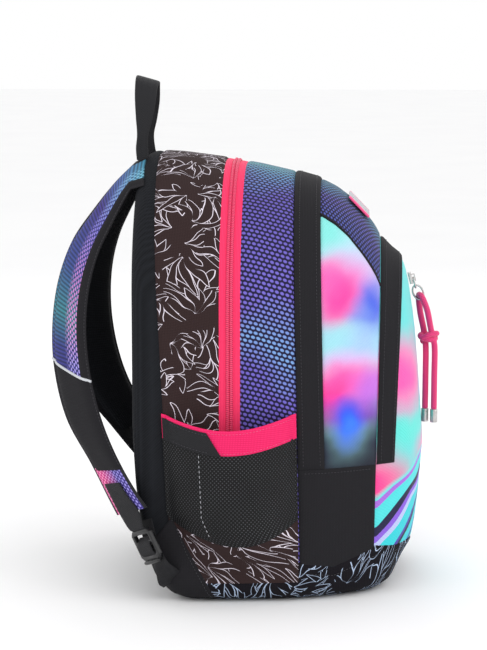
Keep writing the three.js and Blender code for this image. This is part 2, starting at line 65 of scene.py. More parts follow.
for place, size, power in (((-1.5, -0.9, 1.9), 1.4, 9), ((-0.7, -2.0, 0.8), 1.2, 5),
                           ((-0.9, 1.9, 1.3), 1.2, 5), ((1.6, 0.3, 1.6), 1.2, 6)):
    bpy.ops.object.light_add(type="AREA", location=place)
    lamp = bpy.context.object
    lamp.data.size = size
    lamp.data.energy = power
    lamp.rotation_euler = (aim - Vector(place)).to_track_quat("-Z", "Y").to_euler()
surround = bpy.data.worlds.new("white_surround")
scene.world = surround
surround.use_nodes = True
surround.node_tree.nodes["Background"].inputs["Color"].default_value = (1, 1, 1, 1)
surround.node_tree.nodes["Background"].inputs["Strength"].default_value = 1.0


def linear(code):
    # An sRGB hex colour as linear light
    parts = [int(code[i:i + 2], 16) / 255 for i in (0, 2, 4)]
    return (*[c / 12.92 if c < 0.04045 else ((c + 0.055) / 1.055) ** 2.4 for c in parts], 1.0)


def add(tree, kind, inputs=None, out=0, stops=(), **settings):
    # Adds one node with its settings; inputs are values, hex colours or other nodes' outputs, and stops
    # are the places and colours of a ramp. Returns an output.
    made = tree.nodes.new("ShaderNode" + kind)
    for name, value in settings.items():
        setattr(made, name, value)
    for socket, value in (inputs or {}).items():
        if isinstance(value, bpy.types.NodeSocket):
            tree.links.new(value, made.inputs[socket])
        else:
            made.inputs[socket].default_value = linear(value) if isinstance(value, str) else value
    for at, _ in stops[1:-1]:
        made.color_ramp.elements.new(at)
    for element, (at, colour) in zip(made.color_ramp.elements if stops else (), stops):
        element.position, element.color = at, linear(colour)
    return made.outputs[out]


def finish(name, roughness, **sockets):
    # A new material with its node tree and its shader
    made = bpy.data.materials.new(name)
    made.use_nodes = True
    shader = made.node_tree.nodes["Principled BSDF"]
    shader.inputs["Roughness"].default_value = roughness
    for socket, value in sockets.items():
        shader.inputs[socket.replace("_", " ")].default_value = value
    return made, made.node_tree, shader


def surface(shader, colour, height=None, strength=0.5, depth=0.5):
    # Gives a shader its colour, which may be a share with two colours that it mixes, and a bump whose
    # depth is in millimetres
    tree = shader.id_data
    if isinstance(colour, tuple):
        colour = add(tree, "Mix", {0: colour[0], 6: colour[1], 7: colour[2]}, 2, data_type="RGBA")
    tree.links.new(colour, shader.inputs["Base Color"])
    if height is not None:
        bump = add(tree, "Bump", {"Height": height, "Strength": strength, "Distance": depth * MM})
        tree.links.new(bump, shader.inputs["Normal"])


def grained(name, roughness, scale, dark, light, bump=(), **sockets):
    # A finish whose colour wanders between two shades in grains, scale of them to the metre
    made, tree, shader = finish(name, roughness, **sockets)
    grain = add(tree, "TexNoise", {"Vector": add(tree, "TexCoord", out=3), "Scale": scale})
    surface(shader, (grain, dark, light), grain if bump else None, *bump)
    return made


bpy.ops.mesh.primitive_plane_add(size=30)
floor = bpy.context.object
floor.name = "floor"
# Matt painted studio floor: almost white, with a very faint unevenness
floor.data.materials.append(grained("painted_floor", 0.9, 3.0, "fdfdfd", "f7f7f8"))

# ---------------------------------------------------------------------------------------------------
# The corded zip pull. A 6.4 mm braided polyester cord is doubled over the oval ring of the front zip
# and tied in an overhand knot, and each end is crimped into a nickel tube.
CORD = 6.4
MIDDLE = np.array((0, -40, 200))  # a point well inside the bag
SAME_POINT = 0.00002  # metres within which two vertices are one


def smooth_line(points, count):
    # A centripetal Catmull-Rom line through points, resampled to count points evenly apart
    p = np.array(points, float)
    p = np.vstack([2 * p[0] - p[1], p, 2 * p[-1] - p[-2]])
    fine = []
    for a, b, c, d in zip(p[:-3], p[1:-2], p[2:-1], p[3:]):
        t = np.cumsum([0, *[max(np.linalg.norm(v) ** 0.5, 1e-6) for v in (b - a, c - b, d - c)]])
        for s in np.linspace(t[1], t[2], 24, endpoint=False):
            first = [((t[k + 1] - s) * m + (s - t[k]) * n) / (t[k + 1] - t[k])
                     for k, m, n in ((0, a, b), (1, b, c), (2, c, d))]
            second = [((t[k + 2] - s) * m + (s - t[k]) * n) / (t[k + 2] - t[k])
                      for k, m, n in ((0, first[0], first[1]), (1, first[1], first[2]))]
            fine.append(((t[2] - s) * second[0] + (s - t[1]) * second[1]) / (t[2] - t[1]))
    fine = np.array(fine + [p[-2]])
    run = np.concatenate([[0], np.cumsum(np.linalg.norm(np.diff(fine, axis=0), axis=1))])
    even = np.linspace(0, run[-1], count)
    return np.array([np.interp(even, run, fine[:, k]) for k in range(3)]).T, run[-1]


def grid_piece(name, places, cloth, materials, closed=False, thickness=0.0, outside=None):
    # A grid primitive whose vertices are laid on places, rows by columns, in millimetres. cloth is
    # each vertex's place on the flat cloth; outside tells which way is out of a point in a row, and
    # without it out is away from the middle of the bag.
    rows, columns = places.shape[0] - 1, places.shape[1] - 1
    bpy.ops.object.select_all(action="DESELECT")
    bpy.ops.mesh.primitive_grid_add(x_subdivisions=columns, y_subdivisions=rows, size=2)
    piece = bpy.context.object
    piece.name = name
    data = piece.data
    flat = np.zeros(len(data.vertices) * 3)
    data.vertices.foreach_get("co", flat)
    flat = flat.reshape(-1, 3)
    i = np.rint((flat[:, 0] + 1) / 2 * columns).astype(int)
    j = np.rint((flat[:, 1] + 1) / 2 * rows).astype(int)
    data.vertices.foreach_set("co", (places[j, i] * MM).ravel())
    corner = np.zeros(len(data.loops), int)
    data.loops.foreach_get("vertex_index", corner)
    data.uv_layers.active.data.foreach_set("uv", cloth[j[corner], i[corner]].ravel())
    data.update()
    facing = 0.0
    for face in data.polygons:
        k = face.vertices[0]
        point = places[j[k], i[k]]
        way = outside(point, j[k]) if outside else point - MIDDLE
        facing += face.normal.dot(Vector(way)) * face.area
    if facing < 0:
        data.flip_normals()
    for material in materials:
        data.materials.append(material)
    if closed:
        bpy.ops.object.mode_set(mode="EDIT")
        bpy.ops.mesh.select_all(action="SELECT")
        bpy.ops.mesh.remove_doubles(threshold=SAME_POINT)
        bpy.ops.object.mode_set(mode="OBJECT")
    if thickness:
        wall = piece.modifiers.new("wall", "SOLIDIFY")
        wall.thickness = thickness * MM
        wall.offset = -1
        bpy.ops.object.modifier_apply(modifier="wall")
    bpy.ops.object.shade_smooth_by_angle(angle=math.radians(50))
    return piece


def fixed(piece, body, slot, *stands_for):
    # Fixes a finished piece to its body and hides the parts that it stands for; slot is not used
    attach(piece, body)
    if stands_for:
        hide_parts(*stands_for)
    return piece


def tube(name, line, radius, materials, sides=12, up=(0, 0, 1)):
    # A closed round tube along a line in millimetres, with rounded ends. up is across its start.
    line = np.array(line, float)
    ahead = np.gradient(line, axis=0)
    ahead /= np.linalg.norm(ahead, axis=1, keepdims=True)
    run = np.concatenate([[0], np.cumsum(np.linalg.norm(np.diff(line, axis=0), axis=1))])
    side = np.cross(ahead[0], np.array(up, float))
    places, cloth = [], []
    stations = [(0, 0.0), (0, 0.6), (0, 0.9)] + [(k, 1.0) for k in range(len(line))] \
        + [(-1, 0.9), (-1, 0.6), (-1, 0.0)]
    reach = [1.0, 0.8, 0.44] + [0.0] * len(line) + [0.44, 0.8, 1.0]
    for (k, grow), out in zip(stations, reach):
        side = side - ahead[k] * side.dot(ahead[k])
        side /= np.linalg.norm(side)
        over = np.cross(side, ahead[k])
        middle = line[k] + ahead[k] * out * radius * 0.8 * (-1 if k == 0 else 1) * (out > 0)
        angles = np.linspace(0, 2 * math.pi, sides + 1)
        places.append([middle + radius * grow * (side * math.cos(a) + over * math.sin(a)) for a in angles])
        cloth.append([(a * radius, run[k]) for a in angles])
    places = np.array(places)
    centre = places.mean(axis=1)
    return grid_piece(name, places, np.array(cloth), materials, closed=True,
                      outside=lambda point, row: point - centre[row])


# Braided polyester: two sets of strands cross at a slant, drawn about 2 mm wide so that they show
cord_braid, tree, shader = finish("braided_polyester_cord", 0.62, Sheen_Weight=0.3)
cloth = add(tree, "UVMap", uv_map="UVMap")
strands = []
for slant in (0.9, -0.9):
    turned = add(tree, "Mapping", {"Vector": cloth, "Rotation": (0, 0, slant)})
    strands.append(add(tree, "TexWave", {"Vector": turned, "Scale": 0.16}, 1, wave_profile="SIN"))
braid = add(tree, "Math", {0: strands[0], 1: strands[1]}, operation="MAXIMUM")
surface(shader, (braid, "a80f48", "f0307c"), braid, 0.5, 0.5)

# Nickel plate on brass: bright and smooth, with faint rubbed patches
nickel, tree, shader = finish("nickel_plate", 0.22, Metallic=1.0)
place = add(tree, "TexCoord", out=3)
rubbed = add(tree, "TexNoise", {"Vector": place, "Scale": 400.0, "Detail": 3.0})
surface(shader, (rubbed, "a9a6a6", "d4d1cf"))
gloss = add(tree, "MapRange", {"Value": rubbed, "To Min": 0.16, "To Max": 0.34})
tree.links.new(gloss, shader.inputs["Roughness"])


def refined(node, name, material, slot, body, bevel=0.5, smooth=40):
    # A copy of a plain solid with its corners rounded, which then stands for it
    bpy.ops.object.select_all(action="DESELECT")
    piece = bpy.data.objects.new(name, nodes[node].data.copy())
    scene.collection.objects.link(piece)
    piece.select_set(True)
    bpy.context.view_layer.objects.active = piece
    bpy.ops.object.mode_set(mode="EDIT")
    bpy.ops.mesh.select_all(action="SELECT")
    bpy.ops.mesh.remove_doubles(threshold=SAME_POINT / 2)
    bpy.ops.mesh.dissolve_limited(angle_limit=math.radians(2))
    bpy.ops.object.mode_set(mode="OBJECT")
    if bevel:
        round_off = piece.modifiers.new("rounded", "BEVEL")
        round_off.width = bevel * MM
        round_off.segments = 3
        round_off.angle_limit = math.radians(25)
        bpy.ops.object.modifier_apply(modifier="rounded")
    bpy.ops.object.shade_smooth_by_angle(angle=math.radians(smooth))
    piece.data.materials.clear()
    piece.data.materials.append(material)
    fixed(piece, body, slot, node)
    return piece


SADDLE = (0, -182.1, 291.1)  # where the cord hangs on the ring
LOOP = {"front": [SADDLE, (-5.6, -184.4, 290), (-6.6, -190, 277), (-5, -194.5, 256), (-3.4, -197.0, 246),
                  (-3, -198.5, 238), (-3, -198.6, 205), (-3, -198.5, 173)],
        "rear": [SADDLE, (5.4, -181.8, 288), (6.4, -183.6, 272), (5, -187, 256), (3.4, -188.4, 247),
                 (2, -189.5, 238), (2, -189.7, 205), (2, -189.5, 173)]}
turns = np.linspace(0, 2 * math.pi, 61)
knot_line = np.array([[5.4 * math.cos(a), -191.5 + 7.4 * math.sin(a), 247 + 1.9 * math.sin(a + 0.9)]
                      for a in turns])
knot = tube("cord_knot_band", knot_line[:-1], 3.3, [cord_braid], sides=14)
over_line, _ = smooth_line([(6.0, -186, 241.5), (7.6, -191.5, 244), (3.6, -199.6, 249.5),
                            (-3.2, -200.2, 251.2), (-7.4, -192, 250), (-5.2, -186.5, 246.5)], 40)
crossing = tube("cord_knot_crossing", over_line, 2.9, [cord_braid], sides=14)
for side in LOOP:
    refined(f"pull_cord_end_{side}", f"cord_tip_{side}", nickel, "metal", "cord_pull", 0.6)
for piece in (knot, crossing):
    fixed(piece, "cord_pull", "pink_cord", "pull_cord_knot")
for side, points in LOOP.items():
    line, run = smooth_line(points, 90)
    strand = tube(f"pull_cord_{side}", line, CORD / 2, [cord_braid], sides=16)
    fixed(strand, "cord_pull", "pink_cord", "pull_cord_loop", f"pull_cord_leg_{side}")

# ---------------------------------------------------------------------------------------------------
# Front zip: its slider, the small link on the slider and the oval ring that the cord hangs from, all
# die-cast and nickel plated. The other sliders have stamped nickel pulls.
for node, body in (("front_slider", "front_slider"), ("front_pull_link", "front_link"),
                   ("front_pull_ring", "cord_pull"), ("main_upper_slider", "upper_slider"),
                   ("main_upper_pull", "upper_pull"), ("main_lower_slider", "lower_slider"),
                   ("main_lower_pull", "lower_pull"), ("second_slider", "second_slider"),
                   ("second_pull", "second_pull")):
    ring = node in ("front_pull_link", "front_pull_ring")
    refined(node, f"cast_{node}", nickel, "metal", body, 0 if ring else 0.35, smooth=80 if ring else 40)

# ---------------------------------------------------------------------------------------------------
# The bag's outline: arch-shaped sections from the back panel to the front pocket, which all the sewn
# panels follow. Each has its depth, half width, crown, base and the radius of its lower corners.
SECTIONS = np.array([
    (102, 134, 426, 116, 70), (99, 142, 433, 86, 60), (91, 147, 437, 46, 45), (78, 149, 437.5, 19, 36),
    (62, 149.5, 436.5, 5, 28), (46, 150, 434.5, 0, 24), (16, 150, 430.5, 0, 22), (-20, 147, 424, 0, 22),
    (-55, 142, 416, 0, 22), (-80, 136, 409, 0, 24), (-96, 130, 401, 0, 26), (-108, 125, 392, 0, 28),
    (-122, 118, 378, 0, 30), (-134, 112, 363, 0, 34), (-143, 106, 347, 3, 38), (-152, 100, 338, 9, 42),
    (-161, 93, 331, 25, 48), (-166, 88, 322, 33, 50), (-170.5, 81, 302, 38, 50), (-174.5, 72, 276, 45, 46),
    (-178, 61, 246, 64, 40), (-181, 49, 208, 88, 34), (-183.5, 34, 176, 112, 26), (-185, 16, 156, 132, 12),
], float)
SEAM = {"back": (62, 84), "zip_rear": (16, 16), "coil_rear": (8.6, 8.6), "coil_front": (3.4, 3.4),
        "zip_front": (-4, -4), "flap_rear": (-64, -53.5), "flap_front": (-90, -79.5),
        "pocket_rear": (-136, -142.5), "pocket_front": (-151, -167)}
DEPTHS = np.linspace(102, -185, 575)
blur = np.hanning(19) / np.hanning(19).sum()
EASED = [np.convolve(np.pad(np.interp(-DEPTHS, -SECTIONS[:, 0], SECTIONS[:, k]), 9, mode="reflect",
                            reflect_type="odd"), blur, mode="valid") for k in range(1, 5)]
known = {}


def half_outline(y):
    # Points (x, z) of half a section, from the middle of the base up to the middle of the crown, and
    # the distance run along it
    y = round(float(y) * 4) / 4
    if y not in known:
        w, top, base, foot = [np.interp(-y, -DEPTHS, column) for column in EASED]
        base = max(base, 0)
        crown = min(0.93 * w, 0.8 * (top - base))
        corner = min(foot, 0.9 * w, top - base - crown)
        low, high = np.radians(np.linspace(-90, 0, 24)), np.radians(np.linspace(0, 90, 72))
        x = np.concatenate([[0], w - corner + corner * np.cos(low), w - crown + crown * np.cos(high), [0]])
        z = np.concatenate([[base], base + corner + corner * np.sin(low),
                            top - crown + crown * np.sin(high), [top]])
        known[y] = x, z, np.concatenate([[0], np.cumsum(np.hypot(np.diff(x), np.diff(z)))])
    return known[y]


def boot_top(y):
    # Height of the base boot's upper edge, which dips and rises along the side
    return np.interp(-y, [-63, -20, 55, 96, 139, 200], [30, 40, 42, 36, 52, 44])


def run_to(y, stop):
    # Distance along half a section to a height, to a place across the crown, or to the crown's middle
    x, z, run = half_outline(y)
    if stop is None:
        return run[-1]
    if callable(stop):
        stop = stop(y)
    if isinstance(stop, tuple):
        top = int(np.argmax(x)) + 1
        return np.interp(-stop[1], -x[top:], run[top:])
    return np.interp(stop, z[1:], run[1:])


def halves(across):
    # From side to side over the crown: which side a share of the way lies on, and how far up that half
    return (-1, 2 * across) if across <= 0.5 else (1, 2 - 2 * across)


def seam_depth(seam, z):
    # Depth of a seam at a height, from its depths at the base and at the crown's height
    return seam[0] + (seam[1] - seam[0]) * z / 440


def between_seams(rear, front, low, high=None, side=0, columns=140, rows=16):
    # Grid of places between two seams, from low to high on one side, or over the crown from side to
    # side, with each place's own spot on the flat cloth
    places, cloth = np.zeros((rows + 1, columns + 1, 3)), np.zeros((rows + 1, columns + 1, 2))
    for i in range(columns + 1):
        across = i / columns
        way, share = (side, across) if side else halves(across)
        for j in range(rows + 1):
            y = places[j, i - 1, 1] if i else (rear[0] + front[0]) / 2
            for _ in range(3):
                x, z, run = half_outline(y)
                start, end = run_to(y, low), run_to(y, high)
                at = start + (end - start) * share
                height = np.interp(at, run, z)
                back_y, front_y = seam_depth(rear, height), seam_depth(front, height)
                y = back_y + (front_y - back_y) * j / rows
            places[j, i] = way * np.interp(at, run, x), y, height
            cloth[j, i, 0] = way * (run[-1] - at)
    cloth[1:, :, 1] = np.cumsum(np.linalg.norm(np.diff(places, axis=0), axis=2), axis=0)
    cloth[:, :, 1] += 100 - rear[1]
    return places, cloth


def lifted(places, height, hem=4.0, rim=0.0, columns_too=False):
    # Lifts a grid off the bag by height, falling to rim at its seams within the hem
    normal = np.cross(np.gradient(places, axis=1), np.gradient(places, axis=0))
    normal /= np.maximum(np.linalg.norm(normal, axis=2, keepdims=True), 1e-9)
    if np.sum((places - MIDDLE) * normal) < 0:
        normal = -normal
    edge = np.inf * np.ones(places.shape[:2])
    for axis in ((0, 1) if columns_too else (0,)):
        step = np.linalg.norm(np.diff(places, axis=axis), axis=2)
        start = np.zeros_like(np.take(step, [0], axis=axis))
        run = np.concatenate([start, np.cumsum(step, axis=axis)], axis=axis)
        edge = np.minimum(edge, np.minimum(run, np.take(run, [-1], axis=axis) - run))
    share = np.clip(edge / hem, 0, 1)
    rise = rim + (height - rim) * np.sqrt(1 - (1 - share) ** 2)
    rise = rise * np.clip(places[:, :, 2] / 10, 0, 1)
    return places + normal * rise[:, :, None]


def sewn_panel(name, node, materials, grid, height, hem=4.0, rim=0.0, slot="black_fabric", wall=1.6,
               columns_too=False):
    # A cloth panel of the shell: lifted between its seams, given the cloth's thickness and fixed
    places, cloth = grid
    piece = grid_piece(name, lifted(places, height, hem, rim, columns_too=columns_too), cloth, materials,
                       thickness=wall)
    fixed(piece, "bag", slot, node)
    return piece


def woven(tree, shader, cloth, pitch, depth):
    # Bump of a plain weave; its pitch and depth are in millimetres
    threads = [add(tree, "TexWave", {"Vector": cloth, "Scale": 0.314 / pitch}, 1,
                   bands_direction=way, wave_profile="SIN") for way in ("X", "Y")]
    weave = add(tree, "Math", {0: threads[0], 1: threads[1]}, operation="MULTIPLY")
    bump = add(tree, "Bump", {"Height": weave, "Strength": 0.5, "Distance": depth * MM})
    tree.links.new(bump, shader.inputs["Normal"])
    return weave


# Plain-woven black polyester, 600 denier: matt, charcoal rather than black, with a painted highlight that
# makes the crowns of the threads slightly greyer. The weave is drawn at 1.6 mm, coarser than it is, so that
# it shows.
black_polyester, tree, shader = finish("plain_black_polyester", 0.8, Specular_IOR_Level=0.2)
cloth = add(tree, "UVMap", uv_map="UVMap")
threads = woven(tree, shader, cloth, 1.6, 0.35)
soft = add(tree, "TexNoise", {"Vector": cloth, "Scale": 0.035, "Detail": 4.0})
# Painted highlight: the crowns of the threads are greyer than the hollows between them
crown_highlight = add(tree, "Mix", {0: threads, 6: "18171a", 7: "29282c"}, 2, data_type="RGBA")
surface(shader, (soft, crown_highlight, "1d1c20"))


def leaf_cloth(name, ground, line, size, seed):
    # Printed plain-woven polyester: thin pale outlines of pointed leaves in tufts, four tufts deep.
    # Each cell of a scatter holds one tuft; the leaves fan out from its middle and curl. ground is the
    # two shades of the cloth and the line's colour; line and size, in millimetres, are its thickness
    # and a tuft's reach.
    made, tree, shader = finish(name, 0.85, Specular_IOR_Level=0.15)
    cloth = add(tree, "UVMap", uv_map="UVMap")
    wave = add(tree, "TexNoise", {"Vector": cloth, "Scale": 0.03, "Detail": 1.0}, 1)
    push = add(tree, "VectorMath", {0: wave, 1: (26, 26, 0)}, operation="MULTIPLY")
    curled = add(tree, "VectorMath", {0: cloth, 1: push}, operation="ADD")
    ink, covered = None, None
    for layer in range(4):
        spot = add(tree, "Mapping", {"Vector": curled, "Location": (seed + 37 * layer, 61 * layer, 0),
                                     "Rotation": (0, 0, 1.1 * layer),
                                     "Scale": (1 / size, 1 / (size * 1.25), 1)})
        cell = add(tree, "TexVoronoi", {"Vector": spot, "Scale": 1.0, "Randomness": 0.9}, 4,
                   voronoi_dimensions="2D").node
        away = add(tree, "VectorMath", {0: spot, 1: cell.outputs["Position"]}, operation="SUBTRACT")
        reach = add(tree, "VectorMath", {0: away}, 1, operation="LENGTH")
        parts = add(tree, "SeparateXYZ", {0: away}).node
        angle = add(tree, "Math", {0: parts.outputs[1], 1: parts.outputs[0]}, operation="ARCTAN2")
        hue = add(tree, "SeparateColor", {0: cell.outputs["Color"]}).node
        spin = add(tree, "Math", {0: hue.outputs[0], 1: 2.4, 2: angle}, operation="MULTIPLY_ADD")
        curl = add(tree, "Math", {0: reach, 1: 0.9 - 0.8 * layer, 2: spin}, operation="MULTIPLY_ADD")
        turned = add(tree, "Math", {0: curl, 1: 1.9 * layer - 1.2}, operation="ADD")
        bend = add(tree, "Math", {0: turned, 1: math.pi, 2: -math.pi}, operation="WRAP")
        facing = add(tree, "Math", {0: add(tree, "Math", {0: bend}, operation="ABSOLUTE"), 1: 1.25},
                     operation="LESS_THAN")
        count = 11 - layer
        turns = add(tree, "Math", {0: bend, 1: count / (2 * math.pi)}, operation="MULTIPLY")
        number = add(tree, "Math", {0: turns}, operation="FLOOR")
        inside = add(tree, "Math", {0: turns, 1: number}, operation="SUBTRACT")
        centred = add(tree, "Math", {0: inside, 1: 0.5}, operation="SUBTRACT")
        off = add(tree, "Math", {0: centred, 1: 2 * math.pi / count}, operation="MULTIPLY")
        side = add(tree, "Math", {0: off, 1: reach}, operation="MULTIPLY")
        across = add(tree, "Math", {0: side}, operation="ABSOLUTE")
        chance = add(tree, "TexWhiteNoise", {"W": add(tree, "Math", {
            0: number, 1: add(tree, "Math", {0: hue.outputs[1], 1: 91.7}, operation="MULTIPLY")},
            operation="ADD")}, noise_dimensions="1D")
        length = add(tree, "MapRange", {"Value": chance, "To Min": 0.4, "To Max": 0.98})
        along = add(tree, "Math", {0: reach, 1: length}, operation="DIVIDE")
        left = add(tree, "Math", {0: 1.0, 1: along}, operation="SUBTRACT", use_clamp=True)
        arch = add(tree, "Math", {0: along, 1: left}, operation="MULTIPLY")
        half = add(tree, "Math", {0: arch, 1: 0.3}, operation="MULTIPLY")
        gap = add(tree, "Math", {0: across, 1: half}, operation="SUBTRACT")
        rim = add(tree, "Math", {0: gap}, operation="ABSOLUTE")
        short = add(tree, "Math", {0: along, 1: 1.0}, operation="LESS_THAN")
        within = add(tree, "Math", {0: short, 1: facing}, operation="MULTIPLY")
        outline = add(tree, "MapRange", {"Value": rim, "From Min": line / size * 1.5,
                                         "From Max": line / size * 0.6})
        drawn = add(tree, "Math", {0: outline, 1: within}, operation="MULTIPLY")
        solid = add(tree, "Math", {0: gap, 1: 0.0}, operation="LESS_THAN")
        leaf = add(tree, "Math", {0: solid, 1: within}, operation="MULTIPLY")
        if ink is None:
            ink, covered = drawn, leaf
        else:
            free = add(tree, "Math", {0: 1.0, 1: covered}, operation="SUBTRACT")
            shown = add(tree, "Math", {0: drawn, 1: free}, operation="MULTIPLY")
            ink = add(tree, "Math", {0: ink, 1: shown}, operation="MAXIMUM")
            covered = add(tree, "Math", {0: covered, 1: leaf}, operation="MAXIMUM")
    weave = woven(tree, shader, cloth, 1.6, 0.3)
    dark = add(tree, "Mix", {0: weave, 6: ground[0], 7: ground[1]}, 2, data_type="RGBA")
    surface(shader, (ink, dark, ground[2]))
    return made


# Brown-black gusset cloth with off-white lines, and near-black base cloth with pale blue ones
leaf_print = leaf_cloth("printed_polyester_leaves", ("2f2222", "3b2c2c", "efe6f2"), 0.24, 46, 3)
base_print = leaf_cloth("printed_polyester_base", ("121015", "1c1920", "b9cbe6"), 0.24, 38, 11)


def knit_loops(tree, parts, pitch, size, rim, middle):
    # 1 in the loops of a knit and 0 between them, in staggered rows. pitch and size, in millimetres,
    # run across and along the cloth; a loop fades from middle to rim, in shares of its half size.
    row = add(tree, "Math", {0: parts.outputs[0], 1: 1 / pitch[0]}, operation="MULTIPLY")
    level = add(tree, "Math", {0: row}, operation="FLOOR")
    odd = add(tree, "Math", {0: level, 1: 2.0}, operation="FLOORED_MODULO")
    column = add(tree, "Math", {0: parts.outputs[1], 1: 1 / pitch[1]}, operation="MULTIPLY")
    shifted = add(tree, "Math", {0: odd, 1: 0.5, 2: column}, operation="MULTIPLY_ADD")
    local = []
    for value, half in ((row, size[0] / pitch[0]), (shifted, size[1] / pitch[1])):
        part = add(tree, "Math", {0: value}, operation="FRACT")
        centred = add(tree, "Math", {0: part, 1: 0.5}, operation="SUBTRACT")
        local.append(add(tree, "Math", {0: centred, 1: 2 / half}, operation="MULTIPLY"))
    spot = add(tree, "VectorMath", {0: add(tree, "CombineXYZ", {0: local[0], 1: local[1]})}, 1,
               operation="LENGTH")
    return add(tree, "MapRange", {"Value": spot, "From Min": rim, "From Max": middle})


def dotted_mesh(name, ground, dots, pitch, size):
    # Knitted spacer mesh of lit loops on a dark ground. dots are colours along the cloth's length.
    made, tree, shader = finish(name, 0.75, Specular_IOR_Level=0.2, Sheen_Weight=0.1)
    cloth = add(tree, "UVMap", uv_map="UVMap")
    parts = add(tree, "SeparateXYZ", {0: cloth}).node
    dot = knit_loops(tree, parts, pitch, size, 1.15, 0.75)
    soft = add(tree, "TexNoise", {"Vector": cloth, "Scale": 0.012, "Detail": 2.0})
    wander = add(tree, "Math", {0: soft, 1: 120.0, 2: -60.0}, operation="MULTIPLY_ADD")
    side = add(tree, "Math", {0: parts.outputs[0]}, operation="ABSOLUTE")
    place = add(tree, "Math", {0: side, 1: wander}, operation="ADD")
    share = add(tree, "MapRange", {"Value": place, "From Min": 0.0, "From Max": 520.0})
    surface(shader, (dot, ground, add(tree, "ValToRGB", {"Fac": share}, stops=dots)), dot, 0.6, 0.6)
    return made


# Printed spacer mesh: violet loops on navy, turning teal over the crown and in patches
purple_mesh = dotted_mesh("printed_spacer_mesh", "1b1538",
                          [(0.0, "63c8c8"), (0.07, "5f94c4"), (0.15, "6256b0"), (0.42, "7468c8"),
                           (0.5, "7aa4dc"), (0.56, "6f62c4"), (1.0, "5a4ca8")], (4.6, 5.2), (3.2, 4.1))

# Nylon zip tape: flat, saturated pink, with a fine rib along it
zip_tape, tree, shader = finish("woven_zip_tape", 0.7, Specular_IOR_Level=0.3)
cloth = add(tree, "UVMap", uv_map="UVMap")
ribs = add(tree, "TexWave", {"Vector": cloth, "Scale": 0.21, "Distortion": 0.3}, 1, bands_direction="Y")
surface(shader, (ribs, "e8265a", "fb3a6c"), ribs, 0.35, 0.3)
# Moulded nylon coil under its woven cover: a little glossier, with painted shade that makes it deeper pink
# between the turns
zip_coil, tree, shader = finish("nylon_zip_coil", 0.42)
cloth = add(tree, "UVMap", uv_map="UVMap")
# The turns give the bump and the painted shade between them
coil_turn_shade = add(tree, "TexWave", {"Vector": cloth, "Scale": 0.157}, 1, bands_direction="X")
surface(shader, (coil_turn_shade, "b81444", "fb4474"), coil_turn_shade, 0.5, 0.5)

# ---------------------------------------------------------------------------------------------------
# Rear gusset, main zip and mesh gusset. The gussets are foam-backed cloth cut in one strip over the
# crown; the zip tape is sewn between them, with its coil standing a little proud.
ZIP_END = 112  # height of the main zip's ends
under_boot = lambda y: boot_top(y) - 6
sewn_panel("gusset_leaves", "rear_gusset", [leaf_print],
           between_seams(SEAM["back"], SEAM["zip_rear"], under_boot, columns=200, rows=20), 1.6, 6,
           slot="leaf_print")
for name, way in (("gusset_leaves_foot", -1), ("gusset_leaves_foot_right", 1)):
    sewn_panel(name, "rear_gusset", [leaf_print],
               between_seams((18, 18), (-6, -6), under_boot, 114, way, 24, 6), 0.2, slot="leaf_print")
for end, rear, front in (("rear", (17, 17), SEAM["coil_rear"]), ("front", SEAM["coil_front"], (-5, -5))):
    sewn_panel(f"zip_tape_{end}", f"main_zip_tape_{end}", [zip_tape],
               between_seams(rear, front, ZIP_END, columns=200, rows=4), 0.5, 1.5, slot="pink_zip", wall=1.0)
places, cloth = between_seams((9.4, 9.4), (2.6, 2.6), ZIP_END, columns=1160, rows=12)
across = np.linspace(0, 1, 13)[:, None]
along = np.arange(1161)[None, :]
ridge = np.sqrt(np.abs(np.sin(2 * math.pi * across))) * 1.5 + 0.7
tooth = 0.28 * np.abs(np.sin(along * math.pi / 2)) * (np.sin(math.pi * across) > 0.2)
up = places - np.array((0, 6, 200))
up[:, :, 1] = 0
up /= np.linalg.norm(up, axis=2, keepdims=True)
coil = grid_piece("zip_coil", places + up * (ridge + tooth)[:, :, None], cloth, [zip_coil], thickness=1.2)
fixed(coil, "bag", "pink_zip", "main_zip_coil")
sewn_panel("gusset_spacer_mesh", "mesh_gusset", [purple_mesh],
           between_seams(SEAM["zip_front"], SEAM["flap_rear"], under_boot, columns=200, rows=20), 1.6, 6,
           slot="purple_mesh")

# ---------------------------------------------------------------------------------------------------
# The two flaps over the second zip and the front pocket's zip: folded strips of black polyester that
# stand proud, each with a row of stitches along both edges. Their zips show only at the ends.
for name, node, zip_node, rear, front, tape_end in (
        ("second_flap", "second_zip_flap", "second_zip", "flap_rear", "flap_front", 134),
        ("pocket_flap", "front_zip_flap", "front_zip", "pocket_rear", "pocket_front", 128)):
    inset = [(y[0] + way, y[1] + way) for y, way in ((SEAM[rear], -2.5), (SEAM[front], 2.5))]
    sewn_panel(f"{name}_tape", zip_node, [zip_tape],
               between_seams(*inset, tape_end, columns=160, rows=4), 0.3, slot="pink_zip")
    sewn_panel(name, node, [black_polyester],
               between_seams(SEAM[rear], SEAM[front], 134, columns=200, rows=16), 3.0, 5, 1.2,
               columns_too=True, wall=1.4)


